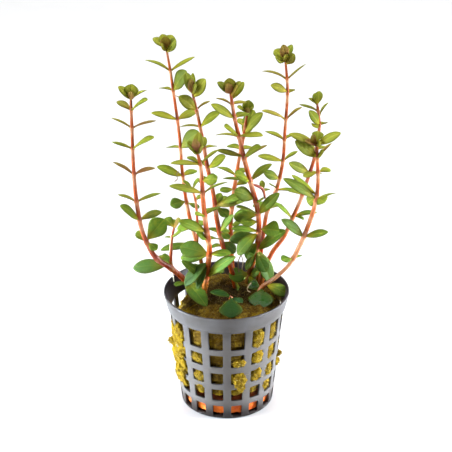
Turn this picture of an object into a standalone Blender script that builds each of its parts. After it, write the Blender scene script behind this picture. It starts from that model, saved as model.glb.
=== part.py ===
"""A bunch of rotala shoots rooted in rock wool inside a tapered net pot.

Metres, +Z up. The pot stands on z = 0 with its axis on the Z axis; the
photograph looks along +Y, so +X is the right-hand side of the picture.
"""
import math

import bmesh
import bpy
from mathutils import Matrix, Vector

MM = 0.001
CLEARANCE = 0.35 * MM
POT_CLEARANCE = 0.5 * MM

# Net pot
POT_HEIGHT = 49.0 * MM
RIM_RADIUS = 25.0 * MM
WALL_TOP_RADIUS = 23.6 * MM
WALL_BASE_RADIUS = 18.6 * MM
WALL_THICKNESS = 0.9 * MM
FLOOR_THICKNESS = 1.2 * MM
COLLAR_DEPTH = 6.5 * MM
COLLAR_TAPER = 1.3 * MM
COLLAR_THICKNESS = 0.9 * MM
COLLAR_EDGE = 0.4 * MM
POT_SEGMENTS = 32
WINDOW_COLUMNS = 16
RIB_WIDTH = 3.1 * MM
# Bottom and top edge of each row of windows, measured up from the table
WINDOW_ROWS = [(0.9, 6.3), (8.8, 14.4), (16.9, 22.3), (25.2, 30.9), (33.4, 41.5)]
WINDOW_ROWS = [(low * MM, high * MM) for low, high in WINDOW_ROWS]
WINDOW_REACH = 6.0 * MM
FLOOR_SLOTS = 8
SLOT_LENGTH = 7.0 * MM
SLOT_WIDTH = 3.0 * MM
SLOT_CENTRE_RADIUS = 11.5 * MM

# Orange disc on the floor of the pot
DISC_HEIGHT = 5.4 * MM
DISC_BEVEL = 0.6 * MM

# Rock wool plug
PLUG_BASE = 11.0 * MM
PLUG_SHOULDER = 41.5 * MM
PLUG_DOME = [(18.5, 44.0), (11.0, 45.0), (0.0, 45.4)]
PLUG_DOME = [(radius * MM, height * MM) for radius, height in PLUG_DOME]
PLUG_SEGMENTS = 24
# The left side has settled, and a mound stands at the back
PLUG_SINK = 6.0 * MM
SINK_START = -6.0 * MM
SINK_END = -20.0 * MM
MOUND_HEIGHT = 3.0 * MM
MOUND_SPREAD = 7.0 * MM
MOUND_CENTRE = Vector((-3.0, 13.0)) * MM

# Leaves
LEAF_THICKNESS = 0.5 * MM
LEAF_ARCH = 0.08
PETIOLE_WIDTH = 0.9 * MM
# Each leaf also swings this far to the front or the back, along the slope
# of the line of sight
DEPTH_SWING = 2.5 * MM
SIGHT_SLOPE = 0.42
# How far along each cross-section of a leaf is, and its share of the width
BROAD_LEAF = [(0.2, 0.16), (0.56, 1.0), (0.86, 0.7)]
NARROW_LEAF = [(0.4, 0.9), (0.8, 0.85)]
BROAD_FROM = 4.6 * MM

LEAF_GREEN = (0.13, 0.22, 0.03, 1.0)

# Each shoot has its stem, as (x, y, z, radius) in millimetres from foot to
# tip, and its leaves, as the height of the leaf's foot on the stem, the
# reach of its tip from there in x, y and z, its width, and how many degrees
# its face is turned from straight up towards the front.
SHOOTS = {
    "shoot_far_left": {
        "stem": [
            (-13.0, 9.0, 40.0, 1.0), (-16.0, 8.0, 48.0, 1.0), (-21.5, 4.0, 56.0, 1.0),
            (-27.5, 1.0, 62.5, 0.95), (-31.0, -1.0, 70.5, 0.85), (-33.0, -2.0, 78.0, 0.8),
            (-34.5, -3.0, 92.0, 0.7), (-35.0, -3.0, 108.0, 0.6), (-35.0, -3.0, 120.0, 0.55),
            (-35.0, -3.0, 131.5, 0.45),
        ],
        "leaves": [
            (131.0, 1.0, -2.0, 6.0, 5.0, 40), (131.0, -5.0, -1.0, 4.5, 4.0, 15), (131.0, 6.0, 0.5, 3.0, 3.5, 0),
            (131.0, -1.0, 3.0, 4.5, 4.0, 20),
            (126.5, -5.5, 0.5, 3.5, 4.0, 10), (126.5, 6.5, -1.5, 4.5, 3.5, -10),
            (119.5, -7.5, -1.0, 4.0, 4.0, 0), (119.5, 9.0, 1.5, 2.0, 4.0, -15),
            (111.0, -8.0, 1.5, 2.5, 4.5, 0), (111.0, 8.5, -1.5, 5.0, 4.5, 5),
            (100.5, -7.5, -1.5, 5.5, 4.5, -5), (100.5, 8.0, 2.0, 1.5, 4.5, -10),
            (89.0, -7.5, 2.0, 2.0, 4.5, -5), (89.0, 9.5, -1.0, 3.5, 5.0, 0),
            (81.0, -7.0, -2.0, 7.0, 4.5, 10), (81.0, 8.5, 2.0, 2.0, 5.0, 5),
            (71.5, 7.5, 0.0, 9.0, 7.0, 45), (70.5, -4.0, 2.0, 3.0, 4.0, 0), (68.5, 3.5, 4.0, -3.0, 4.5, 20),
            (62.5, -9.0, -4.0, -3.0, 6.0, 20), (61.5, 5.0, -3.0, 3.5, 4.5, 10),
            (49.0, 6.7, -12.0, -4.8, 6.0, 0),
        ],
    },
    "side_shoot_left": {
        "stem": [(-22.2, 6.5, 57.6, 0.6), (-22.0, 7.5, 63.0, 0.6), (-21.5, 9.0, 68.0, 0.5), (-20.5, 10.0, 72.0, 0.45)],
        "leaves": [
            (71.6, -4.0, 1.0, 3.0, 3.0, 10), (71.6, 2.0, -1.0, 4.0, 3.5, 20), (71.4, 0.5, 3.0, 2.5, 3.0, 0),
            (68.0, 4.0, -1.5, 2.5, 3.5, 20), (67.5, -3.0, 1.5, 0.0, 2.5, 0), (62.0, -1.0, 5.0, 2.0, 3.0, 0),
        ],
    },
    "shoot_back_left": {
        "stem": [
            (-8.0, 14.0, 39.5, 0.8), (-9.5, 14.0, 50.5, 0.8), (-12.0, 15.5, 62.0, 0.75),
            (-15.0, 17.0, 75.0, 0.7), (-17.0, 18.0, 90.0, 0.6), (-18.0, 18.0, 108.0, 0.55),
            (-20.0, 18.0, 126.5, 0.5), (-21.0, 18.0, 135.0, 0.45), (-22.3, 18.0, 144.0, 0.4),
        ],
        "leaves": [
            (143.6, -4.5, 0.0, 4.5, 4.0, 35), (143.6, 4.0, -1.0, 4.0, 4.0, 25), (143.4, 0.5, -2.5, 5.5, 5.0, 40),
            (143.4, -2.0, 3.0, 5.0, 4.0, 20),
            (134.5, -9.0, 1.0, 4.5, 3.5, -15), (134.5, 9.5, 0.0, 5.5, 3.5, -15),
            (126.5, 5.5, -1.0, 8.0, 6.0, 50), (126.5, -5.5, 1.5, 0.5, 3.0, 0),
            (114.5, -10.0, -1.0, 3.0, 4.5, 5), (114.5, 7.5, 2.0, 3.0, 4.5, 10),
            (102.5, 7.5, -1.0, 7.0, 6.5, 45), (102.5, -5.5, 3.0, -1.0, 3.0, 0),
            (90.5, -10.0, -2.0, 4.0, 5.0, 10), (90.5, 5.5, 3.0, 1.0, 4.5, 5),
            (79.5, -5.5, -3.0, 0.5, 5.5, 30), (79.0, 5.0, 2.0, -2.5, 4.5, 10),
            (68.0, 4.5, 3.5, 1.5, 4.0, 0), (68.0, -5.5, 2.0, 2.0, 4.0, 0),
        ],
    },
    "side_shoot_back": {
        "stem": [(-11.6, 11.5, 78.0, 0.45), (-12.0, 11.0, 83.0, 0.4), (-13.2, 10.8, 88.0, 0.35)],
        "leaves": [
            (87.5, 2.5, -1.0, 5.5, 3.0, 0), (87.5, -3.5, -2.0, 5.0, 3.0, 0), (83.0, 3.5, 1.5, 1.5, 2.5, 0),
        ],
    },
    "shoot_left_centre": {
        "stem": [
            (3.5, 8.0, 40.0, 1.0), (2.0, 7.8, 48.0, 1.0), (-1.0, 7.0, 64.5, 0.9),
            (-3.5, 6.0, 76.5, 0.85), (-5.0, 5.0, 89.5, 0.75), (-7.0, 4.0, 100.5, 0.7),
            (-8.5, 4.0, 110.5, 0.6), (-10.0, 4.0, 119.5, 0.55), (-12.3, 4.0, 131.0, 0.45),
        ],
        "leaves": [
            (130.6, 5.0, -1.0, 5.0, 5.0, 35), (130.6, -1.0, 2.0, 6.5, 3.5, 0), (130.4, 1.0, -4.0, 4.0, 4.0, 10),
            (130.4, -4.0, 0.5, 3.0, 3.5, 10),
            (124.0, -6.5, -1.0, 5.5, 5.0, 25), (124.0, 5.0, 2.0, 2.0, 3.5, -5), (123.0, -8.5, 3.5, 5.5, 3.5, -10),
            (117.0, -8.0, 1.0, -0.5, 3.5, -5), (117.0, 7.5, -1.0, 5.5, 5.0, 25),
            (108.0, 4.5, 2.0, 0.0, 3.0, 0), (108.0, -4.5, 3.0, 1.5, 3.5, 0),
            (100.0, 7.0, -1.0, 5.0, 5.0, 15), (100.0, -4.0, 3.5, 2.0, 4.0, 0),
            (93.5, -4.5, -3.5, 2.0, 5.5, 40), (93.5, 4.5, 3.0, 0.5, 4.0, 0),
            (83.0, 5.0, -3.0, 1.0, 4.5, 20), (82.0, -4.5, 2.0, -0.5, 4.0, 0),
            (71.5, 5.0, -3.0, 4.0, 4.0, 10), (70.5, -4.5, 4.0, 0.5, 4.0, 0),
            (59.5, -4.5, -3.0, 4.0, 4.0, 10),
        ],
    },
    "shoot_centre": {
        "stem": [
            (7.5, 11.0, 40.0, 1.0), (9.0, 11.5, 48.5, 1.0), (12.0, 8.5, 62.0, 1.0),
            (13.0, 6.0, 73.5, 0.95), (12.0, 4.0, 84.0, 0.9), (10.0, 3.0, 92.5, 0.85),
            (7.5, 2.0, 103.0, 0.8), (5.5, 1.0, 112.5, 0.7), (3.5, 0.0, 122.0, 0.6),
            (2.0, 0.0, 132.5, 0.5),
        ],
        "leaves": [
            (132.0, -4.5, -1.0, 4.0, 4.5, 30), (132.0, 4.5, -1.5, 4.5, 5.5, 35), (131.8, 0.0, 2.0, 5.0, 5.0, 35),
            (131.8, 0.0, -4.0, 2.5, 4.0, 10),
            (127.5, -6.5, 1.5, 1.0, 3.5, -10), (127.5, 5.0, 3.0, 0.0, 3.0, 0),
            (122.0, -9.0, -2.0, 5.0, 5.0, 10), (122.0, 5.0, 4.0, 0.5, 4.0, 0),
            (114.5, 9.0, -2.0, 0.5, 4.0, 0), (114.5, -5.5, -2.0, 4.5, 4.5, 15), (114.0, -9.0, 3.0, -0.5, 3.5, -15),
            (105.5, -10.5, -2.5, 2.5, 5.0, 10), (105.5, 6.5, -2.0, 4.5, 5.0, 20), (104.5, 9.0, 4.0, 4.0, 3.0, -15),
            (95.0, 8.5, 1.0, 6.5, 4.5, 5), (95.0, -6.0, -3.0, 4.0, 5.5, 30),
            (87.0, -9.0, -1.5, 5.0, 4.5, 5), (85.5, 2.5, -3.5, 4.0, 3.0, 10),
            (80.0, 6.5, -2.0, 8.5, 6.5, 30), (80.0, -8.5, -2.5, 4.0, 4.0, -5),
            (72.0, 7.0, -3.0, 3.5, 7.0, 30), (71.5, -10.5, -3.0, 3.5, 4.5, -10),
            (62.5, 11.5, -1.5, 9.0, 5.5, 20), (61.0, 4.0, -2.5, -7.5, 5.5, 30), (60.0, -4.0, -2.5, 2.5, 4.5, 10),
            (50.0, -8.0, -7.5, 3.5, 6.0, 20),
        ],
    },
    "side_shoot_centre": {
        "stem": [(15.3, 6.5, 85.8, 0.35), (14.5, 5.5, 89.7, 0.4), (12.8, 5.0, 91.8, 0.45)],
        "leaves": [(89.6, -0.6, -0.5, 4.1, 3.0, 10), (89.0, 2.2, 0.5, 0.8, 2.0, 0)],
    },
    "shoot_front_left": {
        "stem": [
            (-9.5, 2.5, 40.0, 1.05), (-8.8, 1.5, 48.0, 1.05), (-7.0, -2.0, 62.5, 1.0),
            (-6.5, -4.0, 69.0, 0.95), (-7.5, -6.0, 78.0, 0.9), (-8.5, -7.0, 89.0, 0.8),
            (-9.0, -8.0, 100.0, 0.7), (-9.5, -8.0, 106.5, 0.6), (-10.8, -8.0, 112.5, 0.5),
        ],
        "leaves": [
            (112.0, -3.0, -0.5, 6.0, 5.0, 35), (112.0, 2.0, 0.5, 5.0, 4.0, 25), (111.8, 0.0, -3.5, 2.0, 3.5, 10),
            (106.5, -11.0, -1.0, 3.0, 5.0, 5), (106.5, 7.0, -1.0, 6.0, 3.5, -10),
            (94.5, -12.5, -2.0, 4.0, 5.0, 5), (94.5, 8.5, -1.5, 5.0, 4.0, -5),
            (85.0, 6.5, -2.0, 4.5, 4.5, 5), (84.5, -3.5, -3.0, 2.0, 3.5, 0),
            (75.0, -11.0, -2.0, 8.0, 6.5, 30), (73.5, -3.5, -4.0, 2.0, 5.0, 20), (73.5, 4.0, 3.0, -1.5, 4.0, 0),
            (66.5, 8.5, -3.0, 3.5, 4.5, 5), (66.0, -13.5, 0.0, 5.5, 8.0, 30),
            (54.0, -9.5, -2.0, 9.0, 6.5, 25), (55.0, 12.0, -4.0, 11.0, 6.5, 25),
        ],
    },
    "shoot_middle_back": {
        "stem": [
            (2.5, 14.5, 39.5, 0.9), (2.5, 14.0, 50.0, 0.9), (2.0, 13.5, 62.0, 0.85),
            (2.0, 13.0, 74.0, 0.8), (3.5, 12.5, 88.0, 0.7), (5.5, 11.5, 101.5, 0.6),
            (7.0, 10.5, 110.0, 0.55), (8.5, 10.0, 120.5, 0.45),
        ],
        "leaves": [
            (120.1, -4.0, -0.5, 2.5, 3.5, 10), (120.1, 2.5, 0.5, 4.0, 4.0, 20), (120.0, 0.0, -3.0, 5.5, 4.0, 20),
            (114.5, 6.0, -1.0, 5.5, 5.0, 20), (114.5, -2.5, 3.5, 2.0, 4.5, 0),
            (104.5, 5.5, 3.5, -1.0, 3.5, 0), (104.5, -5.0, 3.0, 0.5, 3.5, 0),
            (93.0, -7.5, 1.5, 3.0, 4.0, 10), (93.0, 4.5, 4.0, 1.0, 3.5, 0),
            (87.5, -5.0, 2.5, 2.5, 3.0, 0),
            (79.0, -5.5, 1.0, 3.5, 4.5, 10), (79.0, 4.5, 4.0, 1.5, 4.0, 0),
            (66.0, -5.5, 3.0, 1.5, 4.0, 0), (66.0, 6.0, 3.0, 1.0, 4.0, 0),
        ],
    },
    "shoot_back_right": {
        "stem": [
            (12.0, 13.0, 39.0, 0.8), (13.5, 13.5, 50.0, 0.8), (18.5, 15.0, 70.0, 0.75),
            (20.5, 16.0, 85.0, 0.7), (22.5, 16.0, 97.0, 0.6), (23.2, 16.0, 110.0, 0.55),
            (24.0, 16.0, 127.0, 0.5), (23.0, 16.0, 140.0, 0.4),
        ],
        "leaves": [
            (139.6, -4.5, -0.5, 4.5, 4.5, 30), (139.6, 3.0, 0.5, 5.0, 4.5, 20), (139.4, -0.5, -3.5, 2.5, 4.5, 20),
            (139.4, -1.0, 3.0, 4.5, 4.0, 20),
            (131.5, -9.5, 1.0, 3.0, 3.5, -15), (131.5, 7.0, -1.0, 6.0, 3.5, -10),
            (125.5, -6.0, -2.0, 5.0, 5.0, 20), (125.5, 2.0, 4.0, 0.5, 3.0, 0),
            (115.0, -9.5, -1.5, 4.0, 4.5, 5), (115.0, 6.5, 1.5, 4.5, 4.5, 5),
            (106.5, -7.5, 1.5, 3.0, 4.5, 5), (106.5, 3.0, -3.5, 3.0, 3.5, 0),
            (97.5, -10.0, -1.0, 2.5, 4.5, 0), (97.5, 6.0, 1.5, 3.5, 4.5, 10),
            (88.5, -6.5, -2.0, 5.0, 5.0, 10), (88.5, 8.0, -2.5, 1.0, 6.0, 40),
            (76.5, -5.0, 2.5, 1.5, 4.5, 0), (76.5, 5.0, 3.5, 1.0, 4.5, 0),
        ],
    },
    "shoot_far_right_back": {
        "stem": [
            (13.5, 7.5, 39.5, 0.85), (15.0, 9.5, 51.0, 0.85), (18.5, 11.5, 59.5, 0.85),
            (23.0, 12.0, 66.0, 0.8), (26.5, 12.0, 74.5, 0.75), (29.5, 11.0, 83.0, 0.7),
            (32.0, 10.0, 92.0, 0.65), (34.5, 9.0, 102.0, 0.6), (36.0, 8.0, 115.0, 0.5),
            (35.0, 8.0, 124.5, 0.45),
        ],
        "leaves": [
            (124.1, -1.0, -2.0, 5.0, 5.5, 40), (124.1, 2.5, 2.0, 2.0, 3.0, 0), (124.0, -3.0, 2.5, 2.5, 3.0, 0),
            (121.5, -6.5, 0.5, 2.0, 3.5, -10), (121.5, -2.0, -3.5, -3.0, 4.0, 25),
            (115.5, 1.0, -4.0, 2.0, 4.0, 10), (115.5, -2.5, 4.0, 0.0, 3.5, 0),
            (105.0, 4.0, 2.5, 0.5, 3.5, 0), (105.0, -4.5, 3.0, 0.5, 3.5, 0),
            (95.0, -8.5, -2.0, 5.5, 5.0, 15), (95.0, 4.0, 3.0, -1.5, 4.0, 0),
            (85.0, 4.0, 2.0, 1.0, 4.0, 0), (85.0, -4.0, 4.0, 0.5, 4.0, 0),
            (74.5, -6.5, -2.0, 6.5, 5.0, 20), (74.5, 10.0, 1.0, 1.5, 4.0, -10),
        ],
    },
    "shoot_far_right": {
        "stem": [
            (11.0, 2.5, 40.0, 0.95), (14.0, 3.5, 47.5, 0.95), (20.0, 2.0, 53.5, 0.95),
            (24.5, -1.0, 60.0, 0.9), (28.0, -3.0, 68.0, 0.85), (31.5, -4.0, 78.0, 0.8),
            (34.0, -5.0, 87.5, 0.75), (35.0, -6.0, 97.0, 0.65), (34.5, -6.0, 108.0, 0.55),
            (34.2, -6.0, 114.0, 0.5),
        ],
        "leaves": [
            (113.5, -9.5, 0.5, 4.5, 4.0, 5), (113.5, 8.5, -0.5, 5.0, 5.0, 15), (113.3, 0.0, -3.0, 5.5, 5.5, 40),
            (113.3, 0.5, 3.0, 4.0, 4.0, 10),
            (108.5, -8.0, -2.0, 7.0, 6.5, 35), (108.5, 5.5, -1.5, 6.0, 4.5, 10),
            (102.0, 5.0, -2.5, 2.5, 3.0, 0), (102.0, -4.0, -2.0, 2.0, 3.0, 0),
            (91.0, -13.5, -3.0, 9.5, 6.5, 30), (91.0, 3.0, -4.0, -1.5, 5.5, 30), (90.0, -2.5, -4.5, -1.0, 4.5, 30),
            (90.0, 8.0, 2.0, 2.0, 3.0, -10),
            (74.0, -9.0, -3.0, 8.5, 6.5, 30), (74.0, 9.5, -2.0, 1.5, 5.0, 5),
            (63.5, -5.0, -3.5, 1.0, 3.5, 0), (63.5, 4.5, 4.5, 0.0, 3.5, 0),
            (48.5, 8.2, -1.5, -1.0, 5.5, 20), (47.5, -1.6, -9.3, -3.4, 9.5, 0),
        ],
    },
    "low_sprig_front": {
        "stem": [(1.5, -4.0, 40.5, 0.7), (1.8, -5.0, 47.0, 0.7), (1.6, -5.6, 49.0, 0.6)],
        "leaves": [
            (48.4, 0.0, -8.9, -4.2, 9.5, 0), (48.4, -5.0, 1.0, 1.5, 5.0, 10), (47.8, 5.5, 1.0, 1.0, 4.5, 10),
        ],
    },
}


def clear_scene():
    for item in list(bpy.data.objects):
        bpy.data.objects.remove(item)


def new_collection(name):
    collection = bpy.data.collections.new(name)
    bpy.context.scene.collection.children.link(collection)
    return collection


def make_material(name, colour, roughness):
    material = bpy.data.materials.new(name)
    material.use_nodes = True
    shader = material.node_tree.nodes["Principled BSDF"]
    shader.inputs["Base Color"].default_value = colour
    shader.inputs["Roughness"].default_value = roughness
    shader.inputs["Metallic"].default_value = 0.0
    return material


def object_from_bmesh(name, shape, collection):
    bmesh.ops.recalc_face_normals(shape, faces=shape.faces)
    mesh = bpy.data.meshes.new(name)
    shape.to_mesh(mesh)
    shape.free()
    item = bpy.data.objects.new(name, mesh)
    collection.objects.link(item)
    return item


def make_cutter(item):
    item.hide_render = True
    item.display_type = "WIRE"


def boolean(target, tool, operation):
    """Apply one exact boolean to the target and drop the tool."""
    modifier = target.modifiers.new("Boolean", "BOOLEAN")
    modifier.object = tool
    modifier.operation = operation
    modifier.solver = "EXACT"
    graph = bpy.context.evaluated_depsgraph_get()
    result = bpy.data.meshes.new_from_object(target.evaluated_get(graph))
    target.modifiers.remove(modifier)
    target.data = result
    bpy.data.objects.remove(tool)


def lathe(name, profile, segments, collection):
    """Turn a closed (radius, height) outline about the Z axis."""
    shape = bmesh.new()
    corners = [shape.verts.new((radius, 0.0, height)) for radius, height in profile]
    for start, end in zip(corners, corners[1:]):
        shape.edges.new((start, end))
    if profile[0][0] > 0.0:
        shape.edges.new((corners[-1], corners[0]))
    bmesh.ops.spin(
        shape, geom=shape.verts[:] + shape.edges[:], cent=(0.0, 0.0, 0.0), axis=(0.0, 0.0, 1.0),
        angle=math.tau, steps=segments, use_merge=True,
    )
    bmesh.ops.remove_doubles(shape, verts=shape.verts, dist=0.01 * MM)
    return object_from_bmesh(name, shape, collection)


def wall_radius(height):
    return WALL_BASE_RADIUS + (WALL_TOP_RADIUS - WALL_BASE_RADIUS) * height / POT_HEIGHT


def inner_radius(height):
    return wall_radius(height) - WALL_THICKNESS


def window_cutter(collection):
    """All the window blocks of the wall, each one tapering with its ribs."""
    shape = bmesh.new()
    half_pitch = math.pi / WINDOW_COLUMNS
    for low, high in WINDOW_ROWS:
        middle = (low + high) / 2
        outer = wall_radius(middle)
        width = 2 * outer * math.sin(half_pitch - RIB_WIDTH / (2 * outer))
        for column in range(WINDOW_COLUMNS):
            turn = Matrix.Rotation((2 * column + 1) * half_pitch, 4, "Z")
            place = Matrix.Translation((0.0, -outer, middle))
            size = Matrix.Diagonal((width, WINDOW_REACH, high - low, 1.0))
            bmesh.ops.create_cube(shape, size=1.0, matrix=turn @ place @ size)
    return object_from_bmesh("window_cutter", shape, collection)


def floor_cutter(collection):
    """Slots through the floor, one ring of them round its solid centre."""
    shape = bmesh.new()
    for index in range(FLOOR_SLOTS):
        turn = Matrix.Rotation(index * math.tau / FLOOR_SLOTS, 4, "Z")
        place = Matrix.Translation((SLOT_CENTRE_RADIUS, 0.0, 0.0))
        size = Matrix.Diagonal((SLOT_LENGTH, SLOT_WIDTH, 4 * FLOOR_THICKNESS, 1.0))
        bmesh.ops.create_cube(shape, size=1.0, matrix=turn @ place @ size)
    return object_from_bmesh("floor_cutter", shape, collection)


def make_pot(parts, cutters):
    collar_low = POT_HEIGHT - COLLAR_DEPTH
    profile = [
        (0.0, 0.0),
        (WALL_BASE_RADIUS, 0.0),
        (wall_radius(collar_low), collar_low),
        (RIM_RADIUS - COLLAR_TAPER, collar_low),
        (RIM_RADIUS, POT_HEIGHT - COLLAR_EDGE),
        (RIM_RADIUS - COLLAR_EDGE, POT_HEIGHT),
        (RIM_RADIUS - COLLAR_THICKNESS, POT_HEIGHT),
        (inner_radius(collar_low), collar_low),
        (inner_radius(FLOOR_THICKNESS), FLOOR_THICKNESS),
        (0.0, FLOOR_THICKNESS),
    ]
    pot = lathe("net_pot", profile, POT_SEGMENTS, parts)
    for cutter in (window_cutter(cutters), floor_cutter(cutters)):
        make_cutter(cutter)
        boolean(pot, cutter, "DIFFERENCE")
    pot.data.materials.append(make_material("grey_pot_plastic", (0.16, 0.19, 0.23, 1.0), 0.45))
    return pot


def make_disc(parts):
    low = FLOOR_THICKNESS + CLEARANCE
    high = low + DISC_HEIGHT
    profile = [
        (0.0, low),
        (inner_radius(low) - POT_CLEARANCE, low),
        (inner_radius(high) - POT_CLEARANCE, high - DISC_BEVEL),
        (inner_radius(high) - POT_CLEARANCE - DISC_BEVEL, high),
        (0.0, high),
    ]
    disc = lathe("orange_base_disc", profile, POT_SEGMENTS, parts)
    disc.data.materials.append(make_material("orange_clay", (0.75, 0.16, 0.02, 1.0), 0.7))
    return disc


def curve_tube(name, points, collection):
    """A capped round tube through (position, radius) points, as a mesh."""
    curve = bpy.data.curves.new(name, "CURVE")
    curve.dimensions = "3D"
    curve.bevel_depth = 1.0
    curve.bevel_resolution = 2
    curve.use_fill_caps = True
    spline = curve.splines.new("POLY")
    spline.points.add(len(points) - 1)
    for spot, (position, radius) in zip(spline.points, points):
        spot.co = (*position, 1.0)
        spot.radius = radius
    path = bpy.data.objects.new(name + "_path", curve)
    collection.objects.link(path)
    graph = bpy.context.evaluated_depsgraph_get()
    mesh = bpy.data.meshes.new_from_object(path.evaluated_get(graph))
    bpy.data.objects.remove(path)
    shape = bmesh.new()
    shape.from_mesh(mesh)
    bpy.data.meshes.remove(mesh)
    bmesh.ops.remove_doubles(shape, verts=shape.verts, dist=0.01 * MM)
    return object_from_bmesh(name, shape, collection)


def stem_points(stem):
    return [(Vector((x, y, z)) * MM, radius * MM) for x, y, z, radius in stem]


def point_on_stem(stem, height):
    """The stem's centre at a height, between the two points around it."""
    points = stem_points(stem)
    for (low, _), (high, _) in zip(points, points[1:]):
        if low.z <= height <= high.z:
            return low.lerp(high, (height - low.z) / (high.z - low.z))
    return points[-1][0]


def hole_cutter(name, stem, collection):
    """The socket that the foot of a stem stands in."""
    (foot, radius), (above, _) = stem_points(stem)[:2]
    along = (above - foot).normalized()
    low = foot - along * CLEARANCE
    return curve_tube(name, [(low, radius + CLEARANCE), (above, radius + CLEARANCE)], collection)


def make_plug(parts, cutters):
    profile = [
        (0.0, PLUG_BASE),
        (inner_radius(PLUG_BASE) - POT_CLEARANCE, PLUG_BASE),
        (inner_radius(PLUG_SHOULDER) - POT_CLEARANCE, PLUG_SHOULDER),
    ]
    plug = lathe("rockwool_plug", profile + PLUG_DOME, PLUG_SEGMENTS, parts)
    for vert in plug.data.vertices:
        if vert.co.z > PLUG_BASE + CLEARANCE:
            sunk = max(0.0, min(1.0, (vert.co.x - SINK_START) / (SINK_END - SINK_START)))
            away = (vert.co.xy - MOUND_CENTRE).length / MOUND_SPREAD
            vert.co.z += MOUND_HEIGHT * math.exp(-away * away) - PLUG_SINK * sunk
            limit = inner_radius(vert.co.z) - POT_CLEARANCE
            if vert.co.xy.length > limit:
                vert.co.xy *= limit / vert.co.xy.length
    for name, shoot in SHOOTS.items():
        if shoot["stem"][0][2] * MM < PLUG_DOME[-1][1]:
            cutter = hole_cutter(name + "_socket", shoot["stem"], cutters)
            make_cutter(cutter)
            boolean(plug, cutter, "DIFFERENCE")
    plug.data.materials.append(make_material("brown_rockwool", (0.20, 0.15, 0.03, 1.0), 0.95))
    return plug


def leaf_reach(x, y, z):
    swing = math.copysign(DEPTH_SWING, y)
    return Vector((x, y, z)) * MM + Vector((0.0, swing, -swing * SIGHT_SLOPE))


def leaf_blade(name, foot, reach, width, tilt, collection):
    """A four-sided sphere drawn out into a thin arched leaf with a midrib line."""
    sections = BROAD_LEAF if width > BROAD_FROM else NARROW_LEAF
    steps = len(sections) + 1
    shape = bmesh.new()
    bmesh.ops.create_uvsphere(shape, u_segments=4, v_segments=steps, radius=1.0)
    facing = Vector((0.0, -math.sin(tilt), math.cos(tilt)))
    side = reach.cross(facing).normalized()
    face = side.cross(reach).normalized()
    arch = LEAF_ARCH * reach.length
    for vert in shape.verts:
        step = round(math.acos(max(-1.0, min(1.0, vert.co.z))) / math.pi * steps)
        if step in (0, steps):
            vert.co = foot + reach * (step / steps)
            continue
        along, share = sections[step - 1]
        spread = max(share * width, PETIOLE_WIDTH) / 2
        centre = foot + reach * along + face * (4 * arch * along * (1 - along))
        ring = vert.co.xy.normalized()
        vert.co = centre + side * (ring.x * spread) + face * (ring.y * LEAF_THICKNESS / 2)
    return object_from_bmesh(name, shape, collection)


def make_shoot(name, shoot, parts, cutters):
    item = curve_tube(name, stem_points(shoot["stem"]), parts)
    for index, (height, x, y, z, width, tilt) in enumerate(shoot["leaves"]):
        foot = point_on_stem(shoot["stem"], height * MM)
        reach = leaf_reach(x, y, z)
        blade = leaf_blade(f"{name}_leaf_{index}", foot, reach, width * MM, math.radians(tilt), cutters)
        boolean(item, blade, "UNION")
    item.data.materials.append(make_material(name + "_green", LEAF_GREEN, 0.5))
    return item


def main():
    clear_scene()
    parts = new_collection("rotala_in_net_pot")
    cutters = new_collection("cutters")
    make_pot(parts, cutters)
    make_disc(parts)
    make_plug(parts, cutters)
    for name, shoot in SHOOTS.items():
        make_shoot(name, shoot, parts, cutters)


main()
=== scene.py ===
"""Looks for a bunch of rotala shoots in a net pot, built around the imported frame.

Metres, +Z up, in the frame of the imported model. The photograph looks along +Y,
so +X is the right-hand side of the picture.
"""
import math
import random

import bmesh
import bpy
from mathutils import Matrix, Vector, noise


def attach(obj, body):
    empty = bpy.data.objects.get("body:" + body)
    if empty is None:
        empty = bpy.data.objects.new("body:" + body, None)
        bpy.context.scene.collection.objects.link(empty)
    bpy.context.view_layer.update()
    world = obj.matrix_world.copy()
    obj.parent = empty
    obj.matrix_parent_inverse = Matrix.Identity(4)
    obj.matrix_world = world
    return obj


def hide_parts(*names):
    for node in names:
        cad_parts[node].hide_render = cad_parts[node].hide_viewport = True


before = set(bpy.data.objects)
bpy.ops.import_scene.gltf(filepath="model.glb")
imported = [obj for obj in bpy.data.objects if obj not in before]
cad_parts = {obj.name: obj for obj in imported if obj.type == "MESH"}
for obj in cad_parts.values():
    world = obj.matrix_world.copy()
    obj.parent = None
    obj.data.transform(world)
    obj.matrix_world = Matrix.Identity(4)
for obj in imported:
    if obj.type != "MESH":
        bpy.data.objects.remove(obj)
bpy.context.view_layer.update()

MM = 0.001
# Every run makes the same random draws
random.seed(7)

# Camera, as worked out from the rim, base and windows of the pot
CAMERA_PLACE = (0.0, -0.500, 0.318)
CAMERA_PITCH = math.radians(25.74)
CAMERA_ROLL = math.radians(-0.41)
CAMERA_LENS = 113.5
SENSOR_WIDTH = 36.0
CAMERA_CLIP = (0.01, 20.0)

# Studio
# How much brighter the light is than the one that just turns white paper white
STUDIO_LIGHT = 1.45
# Strength of the soft light all round, from the viewer's side and from behind
FRONT_AIR = 0.32
BACK_AIR = 1.1
# Where the soft light changes over, as how far the sky there lies behind the plant
AIR_TURN = (-0.9, 0.4)
FLOOR_REACH = 4.0
PLANT_MIDDLE = (0.0, 0.0, 0.07)
POT_MIDDLE = (0.0, 0.0, 0.025)
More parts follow.
